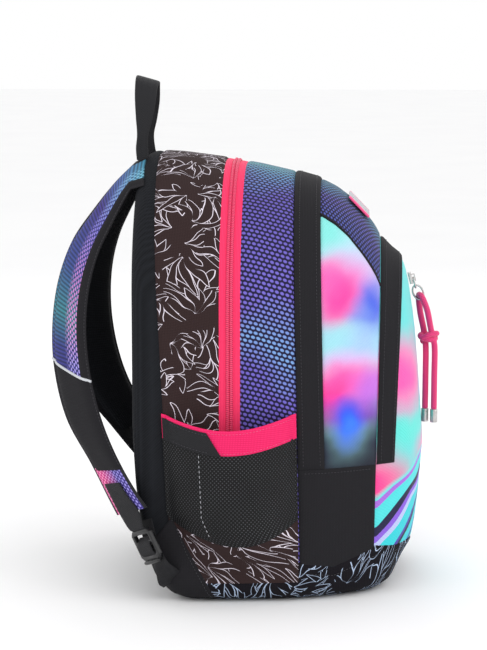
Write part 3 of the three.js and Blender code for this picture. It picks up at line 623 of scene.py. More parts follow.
def stitched(name, lines, thread, slot, body, pitch=3.4, length=2.2, radius=0.34):
    # Rows of stitches along lines in millimetres: one small bead of thread is modelled and repeated
    bpy.ops.object.select_all(action="DESELECT")
    bpy.ops.mesh.primitive_uv_sphere_add(segments=6, ring_count=4, radius=1)
    piece = bpy.context.object
    piece.name = name
    bead = np.array([v.co for v in piece.data.vertices])
    faces = [list(f.vertices) for f in piece.data.polygons]
    corners, rings = [], []
    for line in lines:
        line = np.array(line, float)
        run = np.concatenate([[0], np.cumsum(np.linalg.norm(np.diff(line, axis=0), axis=1))])
        for at in np.arange(pitch / 2, run[-1], pitch):
            ends = [np.array([np.interp(at + d, run, line[:, k]) for k in range(3)]) for d in (-0.6, 0.6)]
            ahead = (ends[1] - ends[0]) / max(np.linalg.norm(ends[1] - ends[0]), 1e-9)
            side = np.cross(ahead, (0.31, 0.52, 0.8))
            side /= np.linalg.norm(side)
            spin = np.stack([side, np.cross(ahead, side), ahead])
            rings += [[v + len(corners) * len(bead) for v in f] for f in faces]
            corners.append((ends[0] + ends[1]) / 2 + (bead * (radius, radius, length / 2)) @ spin)
    piece.data.clear_geometry()
    piece.data.from_pydata((np.concatenate(corners) * MM).tolist(), [], rings)
    piece.data.materials.append(thread)
    bpy.ops.object.shade_smooth()
    fixed(piece, body, slot)
    return piece


# Bonded polyester sewing thread, slightly glossy: charcoal on the black cloth
black_thread = grained("bonded_black_thread", 0.5, 900, "2e2d31", "47464c", Specular_IOR_Level=0.3)
for name, rear, front in (("second_flap", "flap_rear", "flap_front"),
                          ("pocket_flap", "pocket_rear", "pocket_front")):
    flap_top = lifted(between_seams(SEAM[rear], SEAM[front], 137, columns=160, rows=16)[0], 3.25)
    stitched(f"{name}_stitches", flap_top[[3, 13]], black_thread, "black_fabric", "bag")

# ---------------------------------------------------------------------------------------------------
# Side panels and top, between the two flaps: satin printed with soft dye clouds on each side, a ribbed
# mesh panel over the top piped with black cloth, and plain black cloth below. All are sewn at the flaps.


def dyed(name, coordinate, base, clouds, stripes=None):
    # Satin polyester with a soft blended print: each cloud is a colour with its centre and half size
    # in millimetres on the plane that coordinate picks, its edge broken up by noise.
    made, tree, shader = finish(name, 0.5, Specular_IOR_Level=0.3)
    place = add(tree, "TexCoord", out=3)
    parts = add(tree, "SeparateXYZ", {0: place}).node
    flat = add(tree, "CombineXYZ", {0: parts.outputs[coordinate], 1: parts.outputs[2]})
    scaled = add(tree, "VectorMath", {0: flat, 1: (1000, 1000, 0)}, operation="MULTIPLY")
    drift = add(tree, "TexNoise", {"Vector": scaled, "Scale": 0.022, "Detail": 2.5}, 1)
    push = add(tree, "VectorMath", {0: drift, 1: (26, 26, 0)}, operation="MULTIPLY")
    warped = add(tree, "VectorMath", {0: scaled, 1: push}, operation="ADD")
    tone = base
    for colour, centre, half, strength in clouds:
        away = add(tree, "VectorMath", {0: warped, 1: (centre[0] + 13, centre[1] + 13, 0)},
                   operation="SUBTRACT")
        sized = add(tree, "VectorMath", {0: away, 1: (1 / half[0], 1 / half[1], 0)}, operation="MULTIPLY")
        reach = add(tree, "VectorMath", {0: sized}, 1, operation="LENGTH")
        share = add(tree, "MapRange", {"Value": reach, "From Min": 1.4, "From Max": 0.15, "To Max": strength},
                    interpolation_type="SMOOTHSTEP")
        tone = add(tree, "Mix", {0: share, 6: tone, 7: colour}, 2, data_type="RGBA")
    if stripes:
        tone = stripes(tree, scaled, tone)
    weave = add(tree, "TexWave", {"Vector": scaled, "Scale": 0.2}, 1, bands_direction="DIAGONAL")
    shade = add(tree, "MapRange", {"Value": weave, "To Min": 0.95, "To Max": 1.0})
    final = add(tree, "Mix", {0: 1.0, 6: tone, 7: shade}, 2, data_type="RGBA", blend_type="MULTIPLY")
    crease = add(tree, "TexNoise", {"Vector": scaled, "Scale": 0.02, "Detail": 3.0, "Distortion": 0.6})
    height = add(tree, "Math", {0: crease, 1: 5.0, 2: weave}, operation="MULTIPLY_ADD")
    surface(shader, final, height, 0.35, 0.4)
    return made


# Satin polyester, dye-sublimated: aqua above, hot pink and blue clouds, fading to navy at the foot
dye_print = dyed("sublimated_satin_side", 1, "a2e0e6", [
    ("7fe0d8", (-88, 366), (22, 34), 0.9), ("b6dcec", (-114, 338), (32, 22), 0.9),
    ("dca6e4", (-110, 310), (46, 40), 1.0), ("f23fa0", (-98, 304), (29, 36), 1.0),
    ("f95fb4", (-88, 318), (18, 22), 0.7), ("4a63dc", (-132, 290), (19, 30), 1.0),
    ("6f8ee6", (-120, 280), (16, 18), 0.7), ("9edbe8", (-96, 262), (32, 18), 0.95),
    ("a8c4f0", (-126, 254), (22, 18), 0.8), ("d6baee", (-112, 238), (34, 14), 0.9),
    ("f670c0", (-106, 220), (54, 20), 1.0), ("ff3c9c", (-94, 204), (36, 28), 1.0),
    ("c26ae0", (-132, 208), (22, 22), 0.9), ("8a3fc8", (-118, 188), (44, 18), 0.9),
    ("18143a", (-74, 150), (30, 46), 1.0), ("18143a", (-148, 154), (28, 44), 1.0),
    ("14122a", (-110, 108), (120, 62), 1.0), ("100e22", (-110, 108), (120, 52), 1.0),
    ("1f56ee", (-111, 180), (17, 26), 1.0), ("3f86f4", (-112, 176), (9, 13), 0.7)])
rib_grid = between_seams(SEAM["flap_front"], SEAM["pocket_rear"], ("x", 88), columns=110, rows=34)
# Ribbed spacer mesh of the top: the same violet and teal cloth, with smaller loops
top_mesh = dotted_mesh("ribbed_spacer_mesh", "191436",
                       [(0.0, "4a9fb8"), (0.1, "5f58b0"), (0.2, "4f5cae"), (0.35, "7c5fc4"), (0.6, "5a4ba0")],
                       (4.4, 4.0), (3.2, 2.4))
sewn_panel("ribbed_top_panel", "ribbed_top", [top_mesh], rib_grid, 1.4, 5, slot="purple_mesh")
for side, way in (("left", -1), ("right", 1)):
    grid = between_seams(SEAM["flap_front"], SEAM["pocket_rear"], 133, ("x", 88), way, columns=90, rows=34)
    sewn_panel(f"dyed_side_{side}", f"side_panel_{side}", [dye_print], grid, 1.5, 6, slot="dye_print",
               columns_too=True)
    edge = rib_grid[0][:, 0 if way < 0 else -1]
    piping = tube(f"top_piping_{side}", edge + (way * 0.6, 0, 0.9), 1.5, [black_polyester], sides=10)
    fixed(piping, "bag", "black_fabric")
    # Lower side panel of plain black cloth, between the side pocket and the front pocket
    low_grid = between_seams(SEAM["flap_rear"], SEAM["pocket_rear"], under_boot, 135, way, 40, 28)
    sewn_panel(f"plain_side_{side}", f"lower_panel_{side}", [black_polyester], low_grid, 1.5, 5,
               columns_too=True)
    top_row = lifted(low_grid[0], 1.75, hem=5, columns_too=True)
    stitched(f"plain_side_stitches_{side}", [top_row[2:-2, -3]], black_thread, "black_fabric", "bag")

# ---------------------------------------------------------------------------------------------------
# Front pocket face: one piece of printed satin, gathered round the pocket's nose, sewn under the flap
# above, to the black side panels and into the base. Arched stripes rise across its foot.


def arched_stripes(tree, scaled, tone):
    # Bands between circles round a point under the bag, with soft wavering edges
    waver = add(tree, "TexNoise", {"Vector": scaled, "Scale": 0.012, "Detail": 1.0})
    moved = add(tree, "VectorMath", {0: scaled, 1: (0, 16, 0)}, operation="SUBTRACT")
    shaped = add(tree, "VectorMath", {0: moved, 1: (0.82, 1, 0)}, operation="MULTIPLY")
    reach = add(tree, "VectorMath", {0: shaped}, 1, operation="LENGTH")
    radius = add(tree, "Math", {0: waver, 1: 26.0, 2: reach}, operation="MULTIPLY_ADD")
    share = add(tree, "MapRange", {"Value": radius, "From Min": 52.0, "From Max": 140.0})
    bands = [(0.0, "1fc4d8"), (0.07, "14122a"), (0.13, "35d0d8"), (0.24, "14122a"), (0.28, "2f5cc8"),
             (0.33, "2fd0da"), (0.47, "14122a"), (0.51, "4a3aa4"), (0.55, "35d0d8"), (0.65, "b9c4ee"),
             (0.69, "8a5fd8"), (0.73, "1c1840"), (0.78, "4fdadc"), (0.87, "a86ad8"), (0.91, "6fdcdc")]
    ramp = add(tree, "ValToRGB", {"Fac": share}, stops=bands)
    ramp.node.color_ramp.interpolation = "CONSTANT"
    inside = add(tree, "MapRange", {"Value": share, "From Min": 0.96, "From Max": 0.92})
    return add(tree, "Mix", {0: inside, 6: tone, 7: ramp}, 2, data_type="RGBA")


# Satin polyester, dye-sublimated: aqua, pink and aqua again, with turquoise and navy stripes below
face_print = dyed("sublimated_satin_front", 0, "6ad8d6", [
    ("ff5cb0", (-96, 220), (76, 42), 1.0), ("ff8fc8", (30, 226), (60, 20), 0.9),
    ("7a6ae0", (10, 262), (40, 22), 0.8), ("3f6cf0", (60, 280), (30, 26), 0.9),
    ("f050a8", (80, 190), (34, 30), 0.9), ("b8a8ee", (0, 200), (40, 14), 0.8),
    ("5fe0d4", (-80, 166), (60, 16), 0.9), ("74dcd8", (20, 164), (60, 16), 0.8),
    ("ff2f90", (-122, 114), (44, 40), 1.0), ("ff5fb0", (10, 140), (70, 20), 0.9),
    ("e83fa0", (90, 116), (40, 30), 1.0)], arched_stripes)


def nose(seam, spacing, end, centre, columns, rounds, first):
    # A face that closes one end of the bag: from a seam along the outline to the depth end, in steps
    # spaced by spacing, then in to a centre in rounds. first is a depth to start the search from.
    places = np.zeros((len(spacing) + rounds, columns + 1, 3))
    for i in range(columns + 1):
        way, share = halves(i / columns)
        for j, step in enumerate(spacing):
            y = places[j, i - 1, 1] if i else first
            for _ in range(4):
                x, z, run = half_outline(y)
                height = np.interp(run[-1] * share, run, z)
                y = seam_depth(seam, height) + (end - seam_depth(seam, height)) * step
            places[j, i] = way * np.interp(run[-1] * share, run, x), y, height
    for step in range(rounds):
        share = (step + 1) / rounds
        places[len(spacing) + step] = places[len(spacing) - 1] * (1 - share) + np.array(centre) * share
    return places


def closed_skin(places, height):
    # The lifted face, with the seam under the base and the point at its centre made exact
    skin = lifted(places, height, hem=6)
    skin[:, 0] = skin[:, -1] = (skin[:, 0] + skin[:, -1]) / 2
    skin[-1] = skin[-1].mean(axis=0)
    return skin


ever_finer = 1 - (1 - np.linspace(0, 1, 61)) ** 1.8
front_places = nose(SEAM["pocket_rear"], ever_finer, -185, (0, -185.9, 144), 220, 6, -150)
front_skin = closed_skin(front_places, 1.0)
# Its foot passes just inside the base boot
front_skin[:, :, 2] += 1.2 * np.clip(1 - front_places[:, :, 2] / 12, 0, 1)
pocket_face = grid_piece("pocket_face", front_skin, front_places[:, :, [0, 2]], [face_print],
                         closed=True, thickness=1.6)
fixed(pocket_face, "bag", "face_print", "front_pocket_face")

# ---------------------------------------------------------------------------------------------------
# Base boot: printed cloth over a stiff sheet, turned up round the sides and front, its top edge folded
# under and sewn down with two rows of stitches.
boot_depths = np.concatenate([np.linspace(62.5, -136, 60), np.linspace(-138, -174, 26)])
boot = np.zeros((len(boot_depths), 121, 3))
boot_cloth = np.zeros((len(boot_depths), 121, 2))
for j, y in enumerate(boot_depths):
    x, z, run = half_outline(y)
    reach = max(run_to(y, boot_top(y)), 2.0)
    for i, share in enumerate(np.linspace(-1, 1, 121)):
        at = abs(share) * reach
        boot[j, i] = math.copysign(np.interp(at, run, x), share), y, np.interp(at, run, z)
        boot_cloth[j, i] = share * reach, y
boot_piece = grid_piece("base_boot_cloth", lifted(boot, 1.9, hem=2.5, rim=0.6, columns_too=True),
                        boot_cloth, [base_print], thickness=1.4)
fixed(boot_piece, "bag", "base_print", "base_boot")
boot_up = lifted(boot, 2.15, hem=2.5, rim=0.8, columns_too=True)
stitched("boot_stitches", [boot_up[2:-6, 4], boot_up[2:-6, -5]], black_thread, "base_print", "bag")

# ---------------------------------------------------------------------------------------------------
# Back panel: foam under black air mesh, wrapped round the rear edge of the bag, with two pairs of pads, a
# lumbar pad and channels for air between them.

# Knitted air mesh: matt black with a faint navy cast and small open cells, drawn 3 mm apart
air_mesh, tree, shader = finish("black_air_mesh", 0.9, Specular_IOR_Level=0.15)
cloth = add(tree, "UVMap", uv_map="UVMap")
cells = add(tree, "TexVoronoi", {"Vector": cloth, "Scale": 0.36, "Randomness": 0.12})
surface(shader, (cells, "101114", "26282d"), cells, 0.5, 0.6)

# The same mesh over the pads, with larger cells, 4.5 mm apart, in a lighter charcoal that is painted light on
# the raised pads
pad_mesh_painted_light, tree, shader = finish("air_mesh_painted_light_pads", 0.85, Specular_IOR_Level=0.25)
cloth = add(tree, "UVMap", uv_map="UVMap")
cells = add(tree, "TexVoronoi", {"Vector": cloth, "Scale": 0.22, "Randomness": 0.08})
surface(shader, (cells, "15161a", "3e4149"), cells, 0.7, 1)

BACK = 101.9  # depth at which the back turns flat
back = nose(SEAM["back"], np.linspace(0, 1, 13), BACK, (0, 102.0, 268), 260, 64, 80)


def pad(x, z, centre, half):
    # Height share of one stitched-down pad: 1 in its middle, falling to 0 at its rounded edge
    reach = (np.abs((x - centre[0]) / half[0]) ** 4 + np.abs((z - centre[1]) / half[1]) ** 4) ** (1 / 4)
    return np.sqrt(np.clip(1 - reach ** 2, 0, 1))


# Centre and half size of each pad: two pairs and the lumbar pad
PADS = [((way * 52, z), (38, tall)) for way in (-1, 1) for z, tall in ((334, 48), (234, 46))]
PADS.append(((0, 148), (90, 32)))
PAD_RISE = 5
rise = np.maximum.reduce([pad(back[:, :, 0], back[:, :, 2], *place) for place in PADS])
back_puffed = closed_skin(back, 1.2)
back_puffed[:, :, 1] += rise * PAD_RISE
back_cloth = np.stack([back[:, :, 0], back[:, :, 2] + back[:, :, 1]], axis=2)
back_pad = grid_piece("back_pad", back_puffed, back_cloth, [air_mesh, pad_mesh_painted_light], closed=True, thickness=1.6)
# Faces of the raised pads take the lighter mesh: painted light
for face in back_pad.data.polygons:
    x, y, z = face.center / MM
    if y > BACK + 1.1 and max(float(pad(x, z, *place)) for place in PADS) > 0.2:
        face.material_index = 1
fixed(back_pad, "bag", "black_fabric", "back_panel")

# ---------------------------------------------------------------------------------------------------
# Wings: doubled triangles of black polyester at the lower rear corners, folded round the edge and
# sewn down, which hold the seams of the lower webbings.
WING_REAR = [(0.6, 60), (10, 74), (32, 89), (52, 93), (66, 80), (86, 64)]  # height, depth of its rear edge
for side, way in (("left", -1), ("right", 1)):
    places = np.zeros((33, 21, 3))
    for j, z in enumerate(np.linspace(1.2, 86, 33)):
        front_y = 16.5 + (z - 0.6) * 0.532
        rear_y = max(np.interp(z, *zip(*WING_REAR)), front_y + 1)
        for i, share in enumerate(np.linspace(0, 1, 21)):
            y = front_y + (rear_y - front_y) * share
            x, height, _ = half_outline(y)
            level = max(z, height[0] + 0.3)
            places[j, i] = way * np.interp(level, height[1:-72], x[1:-72]), y, level
    grid = places, places[:, :, [1, 2]]
    sewn_panel(f"webbing_wing_{side}", f"wing_{side}", [black_polyester], grid, 2.6, 2.5, 1.4,
               columns_too=True)
    raised = lifted(places, 2.85, hem=2.5, rim=1.4, columns_too=True)
    stitched(f"wing_stitches_{side}", [raised[2:-3, 2]], black_thread, "black_fabric", "bag")

# ---------------------------------------------------------------------------------------------------
# Side pockets: a printed foot, a stretched black net and a wide pink elastic along the top, whose rear
# end is covered by a tab of black webbing. They stand open, as a drinks bottle would leave them.
# Heights of the foot and rim, how far they bulge and sag, the elastic's width and the gap to the bag.
POCKET = {"foot": 27, "bulge": 26, "rim": 190, "sag": 11, "elastic": 25, "clear": 0.9}
ACROSS_POCKET = (-0.035, 1.03)  # from a little behind the rear seam to a little before the front one


def pocket_point(u, z, out):
    # A place on a left pocket, u of the way from its rear seam to its front seam
    rear = min(seam_depth(SEAM["back"], z) - 3, 15.5 + 0.535 * (z - 2))
    y = rear + (seam_depth(SEAM["flap_rear"], z) + 4 - rear) * u
    t = min(max((z - POCKET["foot"] + 6) / (84 - POCKET["foot"] + 6), 0), 1)
    bulge = POCKET["bulge"] * t * t * (3 - 2 * t) * max(math.sin(math.pi * u), 0) ** 0.65
    width = np.interp(-y, -SECTIONS[:, 0], SECTIONS[:, 1])
    return np.array((-width - POCKET["clear"] - bulge - out, y, z))


rim = lambda u: POCKET["rim"] - POCKET["sag"] * math.sin(math.pi * u)
band_foot = lambda u: rim(u) - POCKET["elastic"]
net_foot = lambda u: 62 + 20 * (2 * u - 1) ** 2

# Knitted polyester net: black, open diamond holes 3 mm apart that catch a grey glint at their edges
pocket_net, tree, shader = finish("knitted_black_net", 0.6, Specular_IOR_Level=0.25)
cloth = add(tree, "UVMap", uv_map="UVMap")
turned = add(tree, "Mapping", {"Vector": cloth, "Rotation": (0, 0, 0.785), "Scale": (0.36, 0.36, 1)})
loops = add(tree, "TexVoronoi", {"Vector": turned, "Scale": 1.0, "Randomness": 0.0},
            voronoi_dimensions="2D")
glint = add(tree, "MapRange", {"Value": loops, "From Min": 0.29, "From Max": 0.15})
soft = add(tree, "TexNoise", {"Vector": cloth, "Scale": 0.02, "Detail": 2.0})
bright = add(tree, "Math", {0: glint, 1: soft}, operation="MULTIPLY")
surface(shader, (bright, "070708", "5c5d62"), glint, 0.6, 0.7)
# Knitted elastic: saturated pink with fine lengthwise ribs and crosswise rubber rows
elastic, tree, shader = finish("knitted_pink_elastic", 0.65, Specular_IOR_Level=0.3)
cloth = add(tree, "UVMap", uv_map="UVMap")
rows_seen = add(tree, "TexWave", {"Vector": cloth, "Scale": 0.16}, 1, bands_direction="Y")
knit = add(tree, "TexWave", {"Vector": cloth, "Scale": 0.2, "Distortion": 0.4}, 1)
both = add(tree, "Math", {0: rows_seen, 1: knit}, operation="MULTIPLY")
surface(shader, (both, "e00c58", "ff2f7c"), both, 0.4, 0.4)
# Polypropylene webbing: black, a herringbone weave drawn 2.5 mm wide, slightly shiny
webbing_cloth, tree, shader = finish("black_webbing", 0.65, Specular_IOR_Level=0.25)
cloth = add(tree, "UVMap", uv_map="UVMap")
parts = add(tree, "SeparateXYZ", {0: cloth}).node
zigzag = add(tree, "Math", {0: parts.outputs[0], 1: 3.1}, operation="PINGPONG")
slanted = add(tree, "Math", {0: parts.outputs[1], 1: zigzag}, operation="ADD")
yarn = add(tree, "Math", {0: add(tree, "Math", {0: slanted, 1: 3.6}, operation="MULTIPLY")},
           operation="SINE")
raised = add(tree, "MapRange", {"Value": yarn, "From Min": -1.0})
surface(shader, (raised, "101012", "26262a"), yarn, 0.4, 0.4)
# Bonded polyester thread in the elastic's pink, and in a light grey that shows as dashes on the net
pink_thread = grained("bonded_pink_thread", 0.5, 900, "c00c4c", "ff70a8")
grey_thread = grained("bonded_grey_thread", 0.5, 900, "8c8c92", "b8b8be")

# The sewn rows' span across the pocket, heights above the band's foot, lift, points and thread
ROWS_SEWN = {"elastic": ((0.34, 0.99), (2.5, 21.5), 2.6, 50, pink_thread),
             "tab": ((0.03, 0.33), (2.2, 19.2), 4.1, 30, black_thread)}
for side, way in (("left", 1), ("right", -1)):
    layers = {
        "foot": (lambda u, v: 21 + (net_foot(u) + 2 - 21) * v, ACROSS_POCKET, 1.3, 40, 14, leaf_print,
                 "leaf_print"),
        "mesh": (lambda u, v: net_foot(u) + (band_foot(u) + 2 - net_foot(u)) * v, ACROSS_POCKET, 1.9, 48, 30,
                 pocket_net, "pocket_mesh"),
        "elastic": (lambda u, v: band_foot(u) + POCKET["elastic"] * v, ACROSS_POCKET, 2.5, 64, 10, elastic,
                    "pink_elastic"),
        "tab": (lambda u, v: band_foot(u) - 0.3 + (POCKET["elastic"] - 3.2) * v, None, 4.0, 24, 10,
                webbing_cloth, "black_fabric"),
    }
    for name, (height, span, out, columns, rows, material, slot) in layers.items():
        places, cloth = np.zeros((rows + 1, columns + 1, 3)), np.zeros((rows + 1, columns + 1, 2))
        for j in range(rows + 1):
            v = j / rows
            low, high = span or (-0.03, 0.44 - 0.11 * v)  # the tab's front end is cut at a slant
            for i in range(columns + 1):
                u = low + (high - low) * i / columns
                edge = min(v, 1 - v) * POCKET["elastic"]
                rounded = -0.7 * (1 - min(edge / 1.6, 1)) ** 2 if name in ("elastic", "tab") else 0
                places[j, i] = pocket_point(u, height(u, v), out + rounded) * (way, 1, 1)
                cloth[j, i, 1] = places[j, i, 2]
            cloth[j, 1:, 0] = np.cumsum(np.linalg.norm(np.diff(places[j], axis=0), axis=1))
        piece = grid_piece(f"pocket_{name}_{side}", places, cloth, [material], thickness=1.2)
        fixed(piece, "bag", slot, f"side_pocket_{name}_{side}")
        if name in ROWS_SEWN:
            span, levels, above, count, thread = ROWS_SEWN[name]
            lines = [[pocket_point(u, band_foot(u) + level, above) * (way, 1, 1)
                      for u in np.linspace(*span, count)] for level in levels]
            stitched(f"{name}_stitches_{side}", lines, thread, slot, "bag")
        if name == "mesh":
            line = [pocket_point(0.26, z, 2.3) * (way, 1, 1) for z in np.linspace(72, 155, 30)]
            stitched(f"net_stitches_{side}", [line], grey_thread, slot, "bag", 5.0, 3.0, 0.45)

# ---------------------------------------------------------------------------------------------------
# Shoulder straps: shaped foam between a ribbed spacer mesh outside and black mesh inside, bound along
# both edges, black below a reflective bar, ending in a thin printed piece with a webbing tab.
NECK_EDGE = [(-27, 108.5, 429), (-32, 128, 410), (-36, 150, 383), (-42, 172, 351), (-50, 186, 312),
             (-57, 192, 268), (-64, 190, 222), (-78, 176, 172), (-98, 149, 130), (-120, 128, 97),
             (-139, 111, 72)]
OUTER_EDGE = [(-88, 108, 406), (-88, 116, 392), (-91, 126, 372), (-97, 139, 344), (-104, 148, 310),
              (-111, 151, 270), (-117, 147, 228), (-126, 137, 188), (-139, 122, 153), (-157, 101, 120),
              (-171, 77, 90)]
SEWN_IN = ((-25, 96, 437), (-93, 94, 410))


def stations(points, shares):
    # Places on a smooth line at the given shares of its length
    line, _ = smooth_line(points, 801)
    return np.array([[np.interp(s * 800, np.arange(801), line[:, k]) for k in range(3)] for s in shares])


def band(name, edge_a, edge_b, half, materials, columns=24, pick=None):
    # A closed band between two edge lines in millimetres. half(s, t) is its half thickness across (s
    # from -1 to 1) and along (t from 0 to 1); pick(s, t, face) chooses each face's material.
    rows = len(edge_a) - 1
    across = edge_b - edge_a
    along = np.gradient((edge_a + edge_b) / 2, axis=0)
    over = np.cross(across, along)
    over /= np.linalg.norm(over, axis=1, keepdims=True)
    run = np.concatenate([[0], np.cumsum(np.linalg.norm(np.diff((edge_a + edge_b) / 2, axis=0), axis=1))])
    spots = [(-math.cos(a), 1) for a in np.linspace(0, math.pi, columns + 1)]
    spots += [(math.cos(a), -1) for a in np.linspace(0, math.pi, columns + 1)[1:]]
    spots = [(math.copysign(abs(s) ** 0.8, s), face) for s, face in spots]
    places, cloth = [], []
    for j in [0, *range(rows + 1), rows]:
        ring, flat = [], []
        t = j / rows
        closing = len(places) in (0, rows + 2)
        width = np.linalg.norm(across[j])
        for s, face in spots:
            rise = 0 if closing else half(s, t) * (1 - abs(s) ** 9) ** 0.5
            middle = (edge_a[j] + edge_b[j]) / 2
            ring.append(middle + across[j] / 2 * s + over[j] * face * rise)
            flat.append((s * width / 2, run[j]))
        places.append(ring)
        cloth.append(flat)
    places, cloth = np.array(places), np.array(cloth)
    centre = places.mean(axis=1)
    piece = grid_piece(name, places, cloth, materials, closed=True,
                       outside=lambda point, row: point - centre[row])
    if pick:
        flat = piece.data.uv_layers.active.data
        widths = np.linalg.norm(across, axis=1)
        for face in piece.data.polygons:
            u, v = np.mean([flat[k].uv for k in face.loop_indices], axis=0)
            station = float(np.interp(v, run, np.arange(rows + 1)))
            j = int(round(station))
            off = np.array(face.center) / MM - (edge_a[j] + edge_b[j]) / 2
            face.material_index = pick(2 * u / np.interp(v, run, widths), station / rows,
                                       1 if off @ over[j] > 0 else -1)
    return piece


# Ribbed spacer mesh of the straps: violet ribs across it, turning teal halfway, with lit loops along
# the outer edge. Ribs are 4 mm apart.
strap_mesh, tree, shader = finish("ribbed_strap_mesh", 0.7, Specular_IOR_Level=0.3)
cloth = add(tree, "UVMap", uv_map="UVMap")
parts = add(tree, "SeparateXYZ", {0: cloth}).node
ribs = add(tree, "TexWave", {"Vector": cloth, "Scale": 0.0785}, 1, bands_direction="Y")
share = add(tree, "MapRange", {"Value": parts.outputs[1], "From Max": 250.0})
dyes = add(tree, "ValToRGB", {"Fac": share}, stops=[
    (0, "4590ac"), (0.1, "4a6cae"), (0.24, "41348c"), (0.5, "3a4f98"), (0.68, "3f8a9a"), (0.82, "39408e"),
    (1, "3a2c84")])
shade = add(tree, "MapRange", {"Value": ribs, "To Min": 0.35, "To Max": 1.0})
ribbed = add(tree, "Mix", {0: 1.0, 6: dyes, 7: shade}, 2, data_type="RGBA", blend_type="MULTIPLY")
dot = knit_loops(tree, parts, (3.4, 6.0), (6.8, 12.0), 0.4, 0.28)
lateral = add(tree, "MapRange", {"Value": parts.outputs[0], "From Min": 0.0, "From Max": 9.0})
lit = add(tree, "Math", {0: dot, 1: lateral}, operation="MULTIPLY")
lights = add(tree, "ValToRGB", {"Fac": share}, stops=[
    (0, "7fc4da"), (0.3, "8f86e4"), (0.55, "d68ad8"), (0.72, "e89adf"), (0.88, "b0a4f2"), (1, "a498ee")])
surface(shader, (lit, ribbed, lights), add(tree, "Math", {0: ribs, 1: lit}, operation="ADD"), 0.7, 0.8)

# Printed spacer mesh of the end piece: pink at the neck side turning violet, with pale loops
end_mesh, tree, shader = finish("printed_end_mesh", 0.75, Specular_IOR_Level=0.3)
cloth = add(tree, "UVMap", uv_map="UVMap")
parts = add(tree, "SeparateXYZ", {0: cloth}).node
dot = knit_loops(tree, parts, (3.6, 5.4), (7.2, 10.8), 0.42, 0.26)
side_share = add(tree, "MapRange", {"Value": parts.outputs[0], "From Min": -12.0, "From Max": 12.0})
ground = add(tree, "Mix", {0: side_share, 6: "c2387e", 7: "3a2f7c"}, 2, data_type="RGBA")
loops = add(tree, "Mix", {0: side_share, 6: "ff9cc8", 7: "9c92e4"}, 2, data_type="RGBA")
surface(shader, (dot, ground, loops), dot, 0.6, 0.6)
# Reflective tape: silver-grey glass-bead film, smooth, a little bright
reflective = grained("reflective_film", 0.4, 1500, "b4b7bd", "dcdfe4", Metallic=0.35)
# Moulded acetal: glossy black, with the faint waviness of a moulding
acetal = grained("moulded_black_acetal", 0.3, 260, "0e0e10", "19191c", (0.15, 0.2), IOR=1.48)

# The left ladder lock's middle and its own axes: across it, away from the bag, and along the strap
LOCK = np.array((-160.0, 86.0, 60.0))
ACROSS = np.array((24.6, 19, -11)) / np.linalg.norm((24.6, 19, -11))
OUT = np.cross(ACROSS, (-3, -17, -35)) / np.linalg.norm(np.cross(ACROSS, (-3, -17, -35)))
ALONG = np.cross(OUT, ACROSS)


def bar_at(s):
    # Share of the strap's length where the reflective bar crosses it, at a place across it
    return 0.549 + 0.016 * s


SPLIT = 0.83  # share of the strap's length where the padded part ends
LONGEST, SEWN = 149, 5  # steps along the padded part, and along what is sewn into the back seam


def lock_point(across, along, out):
    # A place in the left lock's own axes
    return LOCK + ACROSS * across + ALONG * along + OUT * out


def strap_half(s, t):
    # Half thickness of the padded strap: thin bound edges, wider on the neck side, round foam between
    swell = max(0.0, 1 - ((s - 0.06) / 0.8) ** 4) ** 0.5
    return 1.5 + 3.9 * swell * min(1, 0.55 + 6 * t, 0.55 + 5 * (1 - t))


def strap_cloth(s, t, face):
    # 0 ribbed mesh, 1 black polyester, 2 black air mesh
    if face * OUTWARD < 0:
        return 2 if abs(s) < 0.8 else 1
    along = (t * (LONGEST + SEWN) - SEWN) / LONGEST * SPLIT
    return 0 if along < bar_at(s) and -0.93 + max(0, 0.25 - along) * 1.6 < s < 0.68 else 1


def on_face(a, b, at, s, sunk=0.0):
    # A place on the padded strap's outer face, at a station between its edges and s across them
    near, far, near_next, far_next = [
        np.array([np.interp(k, np.arange(len(line)), line[:, d]) for d in range(3)])
        for k in (at, at + 1) for line in (a, b)]
    over = np.cross(far - near, near_next + far_next - near - far)
    over *= OUTWARD / np.linalg.norm(over)
    rise = (strap_half(s, at / (LONGEST + SEWN)) - sunk) * (1 - abs(s) ** 9) ** 0.5
    return (near + far) / 2 + (far - near) / 2 * s + over * rise


def on_end(t, share):
    # Just above the outward face of the left strap's end
    places_a, places_b = stations(NECK_EDGE, (t, t + 0.004)), stations(OUTER_EDGE, (t, t + 0.004))
    out = np.cross(places_b[0] - places_a[0], places_a[1] - places_a[0])
    out /= math.copysign(np.linalg.norm(out), out[1])
    return places_a[0] * (1 - share) + places_b[0] * share + out * 4.4


